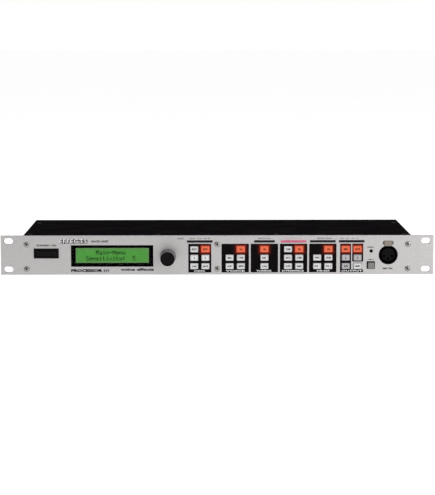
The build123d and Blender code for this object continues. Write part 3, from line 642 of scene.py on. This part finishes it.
def screwUnit(look, shank, material):
    # domed head up along Z with a tapered cross recess, its seat at z = 0, and a dark fill at the bottom of the recess
    # as painted shadow
    radius, height = look["radius"], look["height"]
    bm = bmesh.new()
    profile = [(0, -shank), (1.35 * mm, -shank + 0.15 * mm), (1.5 * mm, -shank + 0.4 * mm), (1.5 * mm, 0), (radius, 0),
               (radius, height * 0.38)]
    for step in range(1, 6):
        turn = quarterTurn * step / 6
        profile.append((radius * (0.72 + 0.28 * math.cos(turn)), height * (0.38 + 0.5 * math.sin(turn))))
    profile += [(radius * 0.62, height * 0.95), (radius * 0.3, height), (0, height)]
    addLathe(bm, (0, 0), profile, steps=40)
    unit = meshPiece("screwUnit", bm, [material])
    unit.data.transform(Matrix.Rotation(quarterTurn, 4, "X"))
    cutter = bmesh.new()
    half, wide, deep = look["slot"] / 2, look["slotWidth"] / 2, look["deep"]
    for turned in (False, True):
        ends = []
        for z, along, across in ((height + 0.2 * mm, half, wide), (height - deep, half * 0.35, wide * 0.6)):
            corners = [(along, across), (-along, across), (-along, -across), (along, -across)]
            ends.append([cutter.verts.new((y, x, z) if turned else (x, y, z)) for x, y in corners])
        cutter.faces.new(ends[0])
        cutter.faces.new(ends[1])
        joinRings(cutter, *ends)
    tool = meshPiece("screwCutter", cutter, [material])
    recessShadow = meshPiece("recessUnit", bmeshOf(tool.data), [oxide])
    recessShadow.data.transform(Matrix.Translation((0, 0, -0.45 * deep)))  # painted shadow: a dark fill at the bottom of the recess
    return cutAway(unit, [tool]), recessShadow


def middles(boxes, **fixed):
    # centre of each box, with the given coordinates in place of its own
    places = []
    for low, high in boxes:
        place = (low + high) / 2
        for axis, value in fixed.items():
            setattr(place, axis, value)
        places.append(place)
    return places


panelUnit, panelRecessShadow = screwUnit(screwHeads["panel"], 8.0 * mm, nickel)
caseUnit, spareRecessShadow = screwUnit(screwHeads["case"], 6.0 * mm, oxide)
coverTop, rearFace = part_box("top_cover")[1].z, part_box("rear_panel")[1].y
caseBoxes = solidsOf("case_screws")
panelSeats = middles(solidsOf("panel_screws"), y=panelFace)
coverSeats = middles([b for b in caseBoxes if b[1].z > coverTop], z=coverTop)
rearSeats = middles([b for b in caseBoxes if b[1].z <= coverTop], y=rearFace)
# piece, its unit, seats, finish, tilt about X, seed, node and slot
screwSets = (
    ("panelScrews", panelUnit, panelSeats, nickel, quarterTurn, 4, "panel_screws", "screw_nickel"),
    # black ink in each panel screw's recess: painted shadow
    ("panelScrewRecesses", panelRecessShadow, panelSeats, finish["blackSilkscreenInk"], quarterTurn, 4, "panel_screws",
     "screw_nickel"),
    ("coverScrews", caseUnit, coverSeats, oxide, 0, 7, "case_screws", "screw_black"),
    ("rearScrews", caseUnit, rearSeats, oxide, -quarterTurn, 9, "case_screws", "screw_black"),
)
for name, unit, seats, material, tilt, seed, node, slot in screwSets:
    keep(scatter(name, unit, seats, material, (tilt, 0, 0), math.pi, seed), "root", node, slot=slot)
for spare in (panelUnit, panelRecessShadow, caseUnit, spareRecessShadow):
    bpy.data.objects.remove(spare)
print("screws made")

# display
displayLook = {
    "viewWidth": 82.4 * mm, "viewHeight": 17.4 * mm, "columns": 20,
    "cellPitch": 3.7 * mm, "rowPitch": 6.6 * mm, "dotPitchX": 0.6 * mm, "dotPitchZ": 0.68 * mm,
    "dotWidth": 0.86 * mm, "dotHeight": 0.84 * mm,
    "lines": ((6, "Main-Menu"), (3, "Sensitivity:  5")),
}
dotLetters = {
    "M": "#...# ##.## #.#.# #.#.# #...# #...# #...#", "a": "..... ..... .###. ....# .#### #...# .####",
    "i": "..#.. ..... .##.. ..#.. ..#.. ..#.. .###.", "n": "..... ..... #.##. ##..# #...# #...# #...#",
    "-": "..... ..... ..... ##### ..... ..... .....", "e": "..... ..... .###. #...# ##### #.... .###.",
    "u": "..... ..... #...# #...# #...# #..## .##.#", "S": ".#### #.... #.... .###. ....# ....# ####.",
    "s": "..... ..... .###. #.... .###. ....# ####.", "t": ".#... .#... ###.. .#... .#... .#..# ..##.",
    "v": "..... ..... #...# #...# #...# .#.#. ..#..", "y": "..... ..... #...# #...# .#### ....# .###.",
    ":": "..... .##.. .##.. ..... .##.. .##.. .....", "5": "##### #.... ####. ....# ....# #...# .###.",
}


def backlitGreen():
    # green LED backlight behind the cell: even in the middle, greyer towards the edge of the view area
    material, tree, shader = newMaterial("backlitLiquidCrystal", {
        "Roughness": 0.35, "Specular IOR Level": 0.1, "Emission Strength": 0.95})
    share = addNode(tree, "ShaderNodeAttribute", attribute_name="edgeShare", attribute_type="GEOMETRY")
    place = addNode(tree, "ShaderNodeTexCoord").outputs["Object"]
    cloud = addNode(tree, "ShaderNodeTexNoise", {"Vector": place, "Scale": 1 / (9 * mm), "Detail": 1.0})
    mixed = addNode(tree, "ShaderNodeMath", {
        0: cloud.outputs["Fac"], 1: 0.25, 2: share.outputs["Fac"]}, operation="MULTIPLY_ADD")
    ramp = addNode(tree, "ShaderNodeValToRGB", {"Fac": mixed.outputs["Value"]}, [(0.2, "#48903a"), (1.0, "#5c7f50")])
    tree.links.new(ramp.outputs["Color"], shader.inputs["Emission Color"])
    shader.inputs["Base Color"].default_value = linear("#1a3a14")
    return material


def addDisplay():
    low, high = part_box("display_cell")
    centre = flatMiddle(low, high)
    # blackened steel frame of the cell, matt
    frameBlack, tree, shader = newMaterial("blackenedSteelFrame", {"Roughness": 0.7, "Specular IOR Level": 0.02})
    mottle(tree, shader, ("#040305", "#070607"), 0.4 * mm, bump=0.1)
    size = (high.x - low.x, high.z - low.z)
    view = (displayLook["viewWidth"], displayLook["viewHeight"])
    bm = bmesh.new()
    # frame: outside, front face, chamfer down to the view area, back
    loops = [(size, 0.0, high.y), (size, 0.0, low.y + 0.3 * mm), (size, 0.3 * mm, low.y), (view, 0.0, low.y),
             (view, 0.35 * mm, low.y + 0.35 * mm), (view, 0.35 * mm, high.y)]
    rings = []
    for whole, inset, y in loops:
        halfX, halfZ = whole[0] / 2 - inset, whole[1] / 2 - inset
        rings.append([bm.verts.new((centre[0] + sx * halfX, y, centre[1] + sz * halfZ))
                      for sx, sz in ((1, 1), (-1, 1), (-1, -1), (1, -1))])
    for a, b in zip(rings, rings[1:] + rings[:1]):
        joinRings(bm, a, b)
    keep(meshPiece("displayFrame", bm, [frameBlack]), "root", "display_cell", slot="display_green")
    # glass behind the frame, as a grid so that the light's fall-off is smooth
    bm = bmesh.new()
    glassFront = low.y + 0.38 * mm
    countX, countZ = 40, 12
    grid = [[bm.verts.new((centre[0] + view[0] * (i / countX - 0.5), glassFront,
                           centre[1] + view[1] * (k / countZ - 0.5))) for k in range(countZ + 1)]
            for i in range(countX + 1)]
    for i in range(countX):
        for k in range(countZ):
            bm.faces.new((grid[i][k], grid[i + 1][k], grid[i + 1][k + 1], grid[i][k + 1]))
    rim = bmesh.ops.extrude_face_region(bm, geom=list(bm.faces))
    bmesh.ops.translate(bm, verts=[v for v in rim["geom"] if isinstance(v, bmesh.types.BMVert)], vec=(0, 1.2 * mm, 0))
    glass = meshPiece("displayGlass", bm, [backlitGreen()])
    share = glass.data.attributes.new("edgeShare", "FLOAT", "POINT")
    for i, vert in enumerate(glass.data.vertices):
        fromSide = min(view[0] / 2 - abs(vert.co.x - centre[0]), view[1] / 2 - abs(vert.co.z - centre[1]))
        share.data[i].value = max(0.0, 1.0 - fromSide / (3.5 * mm))
    keep(glass, "root", "display_cell", slot="display_green")
    # character dots
    bm = bmesh.new()
    addLoft(bm, (0, 0), (displayLook["dotWidth"], displayLook["dotHeight"]), 0.05 * mm,
            [(0.0, 0.0), (0.0, -0.03 * mm)], steps=1)
    dotMaterial, tree, shader = newMaterial("darkLiquidCrystal", {
        "Roughness": 0.4, "Specular IOR Level": 0.1, "Emission Color": linear("#1c4016"), "Emission Strength": 0.5})
    mottle(tree, shader, ("#10240e", "#162e12"), 1.2 * mm)
    unit = meshPiece("dotUnit", bm, [dotMaterial])
    points = []
    for row, (firstColumn, words) in enumerate(displayLook["lines"]):
        for offset, letter in enumerate(words):
            if letter == " ":
                continue
            cellX = centre[0] + displayLook["cellPitch"] * (firstColumn + offset - (displayLook["columns"] - 1) / 2 - 1)
            cellZ = centre[1] + displayLook["rowPitch"] * (0.5 - row)
            for down, pattern in enumerate(dotLetters[letter].split()):
                for across, mark in enumerate(pattern):
                    if mark == "#":
                        points.append((cellX + (across - 2) * displayLook["dotPitchX"], glassFront,
                                       cellZ + (3 - down) * displayLook["dotPitchZ"]))
    dots = scatter("displayDots", unit, points, dotMaterial)
    bpy.data.objects.remove(unit)
    keep(dots, "root", "display_cell", slot="display_green")


def clearWindow():
    # flat acrylic window with an anti-reflection coat, so nearly no mirror image: hence the low index
    material, tree, shader = newMaterial("coatedClearAcrylic", {
        "Roughness": 0.0, "IOR": 1.08, "Transmission Weight": 1.0, "Specular IOR Level": 0.02})
    mottle(tree, shader, ("#fafcfa", "#ffffff"), 20 * mm)
    return material


addDisplay()
paint(clearWindow(), "display_window")
print("display made")

# meters and peak lamp
meterLook = {"corner": 0.25 * mm, "bevel": 0.12 * mm, "besideKeys": 6 * mm}
peakLamp = min(solidsOf("indicator_lamps"), key=lambda b: b[1].z)


def addLamps():
    # the bars over the dynamics keys are lit
    beside, bevel = meterLook["besideKeys"], meterLook["bevel"]
    litLow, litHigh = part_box("key_dynamics_1")[0].x - beside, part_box("key_dynamics_2")[1].x + beside
    bm = bmesh.new()
    for low, high in solidsOf("indicator_lamps"):
        if low == peakLamp[0]:
            continue
        centre = flatMiddle(low, high)
        lit = litLow < centre[0] < litHigh
        addLoft(bm, centre, (high.x - low.x, high.z - low.z), meterLook["corner"],
                [(0.0, high.y), (0.0, low.y + bevel), (bevel, low.y)], material=1 if lit else 0, steps=3)
    low, high = peakLamp
    radius = (high.x - low.x) / 2
    profile = [(0, high.y), (radius, high.y), (radius, low.y + radius)]
    profile += [(radius * math.cos(quarterTurn * i / 8), low.y + radius - radius * math.sin(quarterTurn * i / 8))
                for i in range(1, 8)]
    addLathe(bm, flatMiddle(low, high), profile + [(0, low.y)], steps=32)
    keep(meshPiece("lightBars", bm, [finish["smokedAcrylic"], litMagentaAcrylic()]), "root", "indicator_lamps",
         slot="lamp_smoked")


addLamps()
print("lamps made")

# printing on the panel
# words, middle x, middle z, height, width, ink and how much the strokes are thickened; all in mm
panelPrints = [
    ("STANDBY / ON", -190.4, 11.1, 2.0, 21.8, "grey", 0.05),
    ("EFFECTS", -160.2, 15.6, 5.6, 31.8, "black", 0.11),
    ("EFFECTS", -160.5, 15.8, 4.7, 30.6, "white", 0.0),
    ("RACK UNIT", -130.5, 15.5, 2.4, 19.0, "grey", 0.05),
    ("PROCESSOR", -145.5, -17.2, 3.4, 35.0, "black", 0.06),
    ("voice effects", -89.3, -16.0, 3.2, 37.4, "grey", 0.05),
    ("LEVEL", -40.6, 18.6, 1.5, 7.2, "grey", 0.02),
    ("-24 -12 -6 0", -20.0, 18.6, 1.4, 24.0, "grey", 0.02),
    ("PITCH", 52.4, 18.6, 1.5, 13.0, "grey", 0.02),
    ("REDUCTION", 84.5, 18.6, 1.5, 18.6, "rose", 0.03),
    ("REDUCTION", 119.4, 18.6, 1.5, 16.0, "grey", 0.02),
    ("-24", 138.8, 18.6, 1.4, 3.6, "grey", 0.02), ("-12", 144.4, 18.6, 1.4, 3.4, "grey", 0.02),
    ("-6", 150.9, 18.6, 1.4, 2.4, "grey", 0.02), ("0", 156.1, 18.6, 1.4, 1.2, "grey", 0.02),
    ("PEAK", 171.1, 8.6, 1.6, 7.1, "grey", 0.04),
    ("+48 V", 171.1, -5.2, 1.6, 7.1, "grey", 0.04),
    ("MIC IN", 190.0, -15.2, 2.0, 10.5, "grey", 0.05),
]
# the section names along the foot of the black fields
fieldNames = [("CONTROL", -19.8, 12.4), ("VOICE", 20.0, 21.3), ("TUNING", 52.0, 16.4), ("DYNAMICS", 84.6, 24.1),
              ("DE-ESS", 118.4, 14.0), ("OUTPUT", 150.2, 23.1)]
rearPrints = [("MAINS", -185.0, 15.4, 11.0), ("REMOTE IN", -108.0, 13.0, 15.0), ("OUT", -80.0, 13.0, 6.0),
              ("THRU", -52.0, 13.0, 8.0), ("DIGITAL OUT", -12.0, 6.5, 17.0), ("LINE IN", 26.0, 6.5, 11.0),
              ("AUX", 59.0, 6.5, 6.0), ("OUT L", 92.0, 6.5, 9.0), ("OUT R", 125.0, 6.5, 9.0)]
inks = {name: finish[name + "SilkscreenInk"] for name in ("grey", "white", "black", "rose")}
inkNumber = {name: number for number, name in enumerate(inks)}
ink = 0.03 * mm


def printPanel():
    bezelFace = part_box("key_bezel")[0].y
    bm = bmesh.new()
    for words, x, z, height, width, colour, grow in panelPrints:
        second = colour == "white"  # white lies on the black outline
        addText(bm, words, (x * mm, z * mm), panelFace - (ink if second else 0), height * mm, width * mm,
                inkNumber[colour], ink, grow)
    black = inkNumber["black"]
    # three upright bars after the lower word, and the strip below the output keys' silver window
    for bar in range(3):
        addLoft(bm, ((-126.0 + 2.2 * bar) * mm, -17.2 * mm), (1.1 * mm, 3.2 * mm), 0.1 * mm,
                [(0.0, panelFace), (0.0, panelFace - ink)], inkNumber["grey"], 1)
    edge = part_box("key_bezel")[1].x
    addLoft(bm, (edge - 12.75 * mm, -17.75 * mm), (25.3 * mm, 3.3 * mm), 0.1 * mm,
            [(0.0, bezelFace), (0.0, panelFace - ink)], black, 1)
    # painted shadow in the gap round the grey button: a black sheet, shifted to its left and top
    x, z = middleOf("phantom_button")
    addLoft(bm, (x - 0.35 * mm, z + 0.35 * mm), (9.3 * mm, 8.6 * mm), 0.4 * mm,
            [(0.0, panelFace), (0.0, panelFace - ink)], black, 2)
    # dark ring round the peak lamp, and the shadow line where each panel screw's head meets the panel
    low, high = peakLamp
    rings = [(flatMiddle(low, high), (high.x - low.x) / 2, 0.12 * mm, 0.5 * mm, black, 32)]
    rings += [((place.x, place.z), screwHeads["panel"]["radius"], 0.05 * mm, 0.3 * mm, inkNumber["grey"], 40)
              for place in middles(solidsOf("panel_screws"))]
    for centre, radius, inner, outer, number, steps in rings:
        addLathe(bm, centre, [(radius + inner, panelFace), (radius + outer, panelFace),
                              (radius + outer, panelFace - ink), (radius + inner, panelFace - ink)],
                 number, steps, closed=True)
    keep(meshPiece("panelPrinting", bm, list(inks.values())), "root", slot="panel_aluminium")
    bm = bmesh.new()
    for words, x, width in fieldNames:
        face = panelFace - ink if words == "OUTPUT" else bezelFace  # that one lies on the strip
        addText(bm, words, (x * mm, -17.8 * mm), face, 1.7 * mm, width * mm, inkNumber["white"], ink, 0.02)
    keep(meshPiece("fieldNames", bm, list(inks.values())), "root", slot="bezel_black")
    bm = bmesh.new()
    for words, x, z, width in rearPrints:
        addText(bm, words, (x * mm, z * mm), rearFace, 2.0 * mm, width * mm, inkNumber["white"], ink, 0.01, rear=True)
    keep(meshPiece("rearPrinting", bm, list(inks.values())), "root", slot="case_paint")


printPanel()
print("printing made")

# data knob
knobLook = {"flutes": 36, "fluteDepth": 0.28 * mm, "stepsEach": 6, "round": 0.7 * mm, "skirt": 1.6 * mm,
            "radius": 7.9 * mm, "skirtRadius": 8.8 * mm, "shaft": 3.0 * mm}


def addKnob():
    # fluted cap on a plain skirt; radius and depth from the skirt's back to the face, which is slightly dished
    low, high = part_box("data_knob")
    centre = middleOf("data_knob")
    back, front = panelFace - 0.6 * mm, low.y
    radius, skirt, edge = knobLook["radius"], knobLook["skirtRadius"], knobLook["round"]
    profile = [(knobLook["shaft"] + 0.1 * mm, back, 0), (skirt - 0.2 * mm, back, 0), (skirt, back - 0.2 * mm, 0),
               (skirt, back - knobLook["skirt"] + 0.3 * mm, 0), (skirt - 0.3 * mm, back - knobLook["skirt"], 0),
               (radius, back - knobLook["skirt"], 0), (radius, back - knobLook["skirt"] - 0.2 * mm, 1),
               (radius, front + edge + 1.2 * mm, 1), (radius, front + edge, 0.5)]
    for step in range(1, 5):
        turn = quarterTurn * step / 4
        profile.append((radius - edge * (1 - math.cos(turn)), front + edge * (1 - math.sin(turn)), 0))
    profile += [(radius - 1.3 * mm, front + 0.06 * mm, 0), (radius * 0.6, front + 0.22 * mm, 0),
                (radius * 0.25, front + 0.28 * mm, 0)]
    bm = bmesh.new()
    count = knobLook["flutes"] * knobLook["stepsEach"]
    rings = []
    for size, y, fluted in profile:
        loop = []
        for i in range(count):
            turn = 2 * math.pi * i / count
            dip = max(0.0, math.cos(2 * math.pi * i / knobLook["stepsEach"])) * knobLook["fluteDepth"] * fluted
            x, z = onCircle(centre, size - dip, turn)
            loop.append(bm.verts.new((x, y, z)))
        rings.append(loop)
    for level, (a, b) in enumerate(zip(rings, rings[1:])):
        joinRings(bm, a, b, 1 if level < 8 else 0)  # grey side below, black face above
    tip = bm.verts.new((centre[0], front + 0.3 * mm, centre[1]))
    for i in range(count):
        bm.faces.new((rings[-1][i], rings[-1][(i + 1) % count], tip))
    base = bm.verts.new((centre[0], back, centre[1]))
    for i in range(count):
        bm.faces.new((rings[0][(i + 1) % count], rings[0][i], base))
    # the steel shaft behind it
    shaft = knobLook["shaft"]
    addLathe(bm, centre, [(0, back), (shaft, back), (shaft, high.y - 0.4 * mm), (shaft - 0.4 * mm, high.y),
                          (0, high.y)], 2, 32)
    keep(meshPiece("knobAndShaft", bm, [finish["softTouchCoating"], finish["greyAnodisedGrip"], nickel], 30),
         "data_knob", "data_knob", slot="knob_black")


addKnob()
print("knob made")

# microphone socket, its latch, and the grey button
micLook = {"insert": 7.6 * mm, "pinCircle": 4.7 * mm, "pinAngles": (200, 270, 340), "hole": 1.45 * mm,
           "bore": 1.25 * mm, "recess": 1.0 * mm}


def addMicInsert():
    low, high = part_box("mic_socket_insert")
    centre = middleOf("mic_socket_insert")
    radius = micLook["insert"]
    bm = bmesh.new()
    addLathe(bm, centre, [(0, high.y), (radius - 0.3 * mm, high.y), (radius, high.y - 0.3 * mm),
                          (radius, low.y + 0.4 * mm), (radius - 0.4 * mm, low.y), (0, low.y)], steps=72)
    body = meshPiece("insertBody", bm, [finish["mattBlackNylon"]])
    places = [onCircle(centre, micLook["pinCircle"], math.radians(a)) for a in micLook["pinAngles"]]
    tools = []
    for place in places:
        bm = bmesh.new()
        addLathe(bm, place, [(0, low.y - mm), (micLook["hole"], low.y - mm), (micLook["hole"], high.y - 2 * mm),
                             (0, high.y - 2 * mm)], steps=32)
        tools.append(meshPiece("contactHole", bm, [finish["mattBlackNylon"]]))
    body = cutAway(body, tools)
    body.name = "micInsert"
    keep(body, "root", "mic_socket_insert", slot="socket_insert_black")
    # spring sleeves of the three contacts, set a little back in their holes
    bm = bmesh.new()
    outer, inner = micLook["hole"] - 0.02 * mm, micLook["bore"]
    front = micLook["recess"]
    addLathe(bm, (0, 0), [(outer, front), (outer, front + 13 * mm), (inner, front + 13 * mm), (inner, front + 0.2 * mm),
                          (inner + 0.1 * mm, front)], steps=28, closed=True)
    # the sleeves' dark finish is painted shade for their depth in the socket
    unit = meshPiece("sleeveUnit", bm, [finish["tarnishedContact"]])
    points = [(x, low.y, z) for x, z in places]
    keep(scatter("micSleeves", unit, points, finish["tarnishedContact"]), "root", "mic_socket_insert",
         slot="socket_insert_black")
    bpy.data.objects.remove(unit)


def satinLatch():
    # zinc latch bar in satin nickel: darker towards its rounded ends, brighter on the neck below it
    material, tree, shader = newMaterial("satinNickelLatch", {"Metallic": 0.75})
    mottle(tree, shader, ("#8f867b", "#a0978b"), 0.5 * mm, bump=0.1, gloss=(0.34, 0.46))
    low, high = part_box("mic_latch")
    place = addNode(tree, "ShaderNodeSeparateXYZ", {
        "Vector": addNode(tree, "ShaderNodeTexCoord").outputs["Object"]}).outputs
    share = place["X"]
    for step, value in (("SUBTRACT", (low.x + high.x) / 2), ("ABSOLUTE", 0.0), ("MULTIPLY", 2 / (high.x - low.x))):
        share = addNode(tree, "ShaderNodeMath", {0: share, 1: value}, operation=step).outputs[0]
    ramp = addNode(tree, "ShaderNodeValToRGB", {"Fac": share}, [(0.6, "#8a8278"), (1.0, "#403d3a")])
    tree.links.new(ramp.outputs["Color"], shader.inputs["Base Color"])
    return material


addMicInsert()
paint(satinLatch(), "mic_latch")
paint(finish["mouldedGreyAbs"], "phantom_button")
print("microphone socket and buttons made")

# pieces inside the case and on the rear
# node: record slot, then each finish by piece with the test that picks its solids (lowest corner, highest, size)
rest = lambda low, high, size: True
nut = lambda low, high, size: size.y < 3 * mm
splitNodes = {
    "encoder": ("encoder_metal", {
        "encoderNut": ("nickelPlatedSteel", nut),
        "encoderBody": ("dieCastZinc", rest)}),
    "mains_transformer": ("core_steel", {
        "transformerWinding": ("windingTape", lambda low, high, size: size.y > 30 * mm),
        "transformerCore": ("laminatedSteel", rest)}),
    "mains_inlet": ("inlet_black", {
        "inletBlades": ("nickelPlatedSteel", lambda low, high, size: size.x < 3 * mm),
        "inletBody": ("mouldedBlackNylon", rest)}),
    "phono_socket": ("phono_metal", {
        "phonoBarrel": ("goldPlatedContact", lambda low, high, size: low.y > rearFace - 3 * mm),
        "phonoBody": ("mouldedBlackNylon", rest)}),
    "jack_sockets": ("jack_black", {
        "jackNuts": ("nickelPlatedSteel", nut),
        "jackBodies": ("mouldedBlackNylon", rest)}),
    "board_components": ("component_black", {
        "capacitors": ("capacitorSleeve", lambda low, high, size: size.z > 12 * mm),
        "chips": ("chipEpoxy", lambda low, high, size: size.z < 3 * mm),
        "ribbon": ("ribbonVinyl", lambda low, high, size: size.z > 7 * mm),
        "ribbonPlugs": ("naturalNylon", rest)}),
}
for node, (slotName, parts) in splitNodes.items():
    solidCopies(node, "root", slotName, {name: (finish[kind], test) for name, (kind, test) in parts.items()})

# contacts of the three round sockets: five sleeves on half a circle, each with a black disc in its mouth as painted
# shadow
roundLook = {"circle": 4.3 * mm, "angles": (0, 45, 90, 135, 180), "sleeve": 0.85 * mm, "mouth": 0.55 * mm,
             "proud": 0.05 * mm}


def addRoundContacts():
    cores = [b for b in solidsOf("midi_sockets") if b[1].x - b[0].x < 15 * mm]
    points = []
    for low, high in cores:
        for angle in roundLook["angles"]:
            x, z = onCircle(flatMiddle(low, high), roundLook["circle"], math.radians(angle))
            points.append((x, high.y, z))
    proud, sleeve, mouth = roundLook["proud"], roundLook["sleeve"], roundLook["mouth"]
    for name, material, profile in (
            ("roundSocketSleeves", nickel, [(mouth, -0.3 * mm), (sleeve, -0.3 * mm), (sleeve, proud), (mouth, proud)]),
            # black disc in each sleeve's mouth: painted shadow
            ("roundSocketMouths", finish["blackSilkscreenInk"], [(0, -0.3 * mm), (mouth, -0.3 * mm), (mouth, proud / 2),
                                                                (0, proud / 2)])):
        bm = bmesh.new()
        addLathe(bm, (0, 0), profile, steps=20, closed=profile[0][0] > 0)
        unit = meshPiece("contactUnit", bm, [material])
        keep(scatter(name, unit, points, material), "root", slot="midi_black")
        bpy.data.objects.remove(unit)


addRoundContacts()
print("inside and rear made")
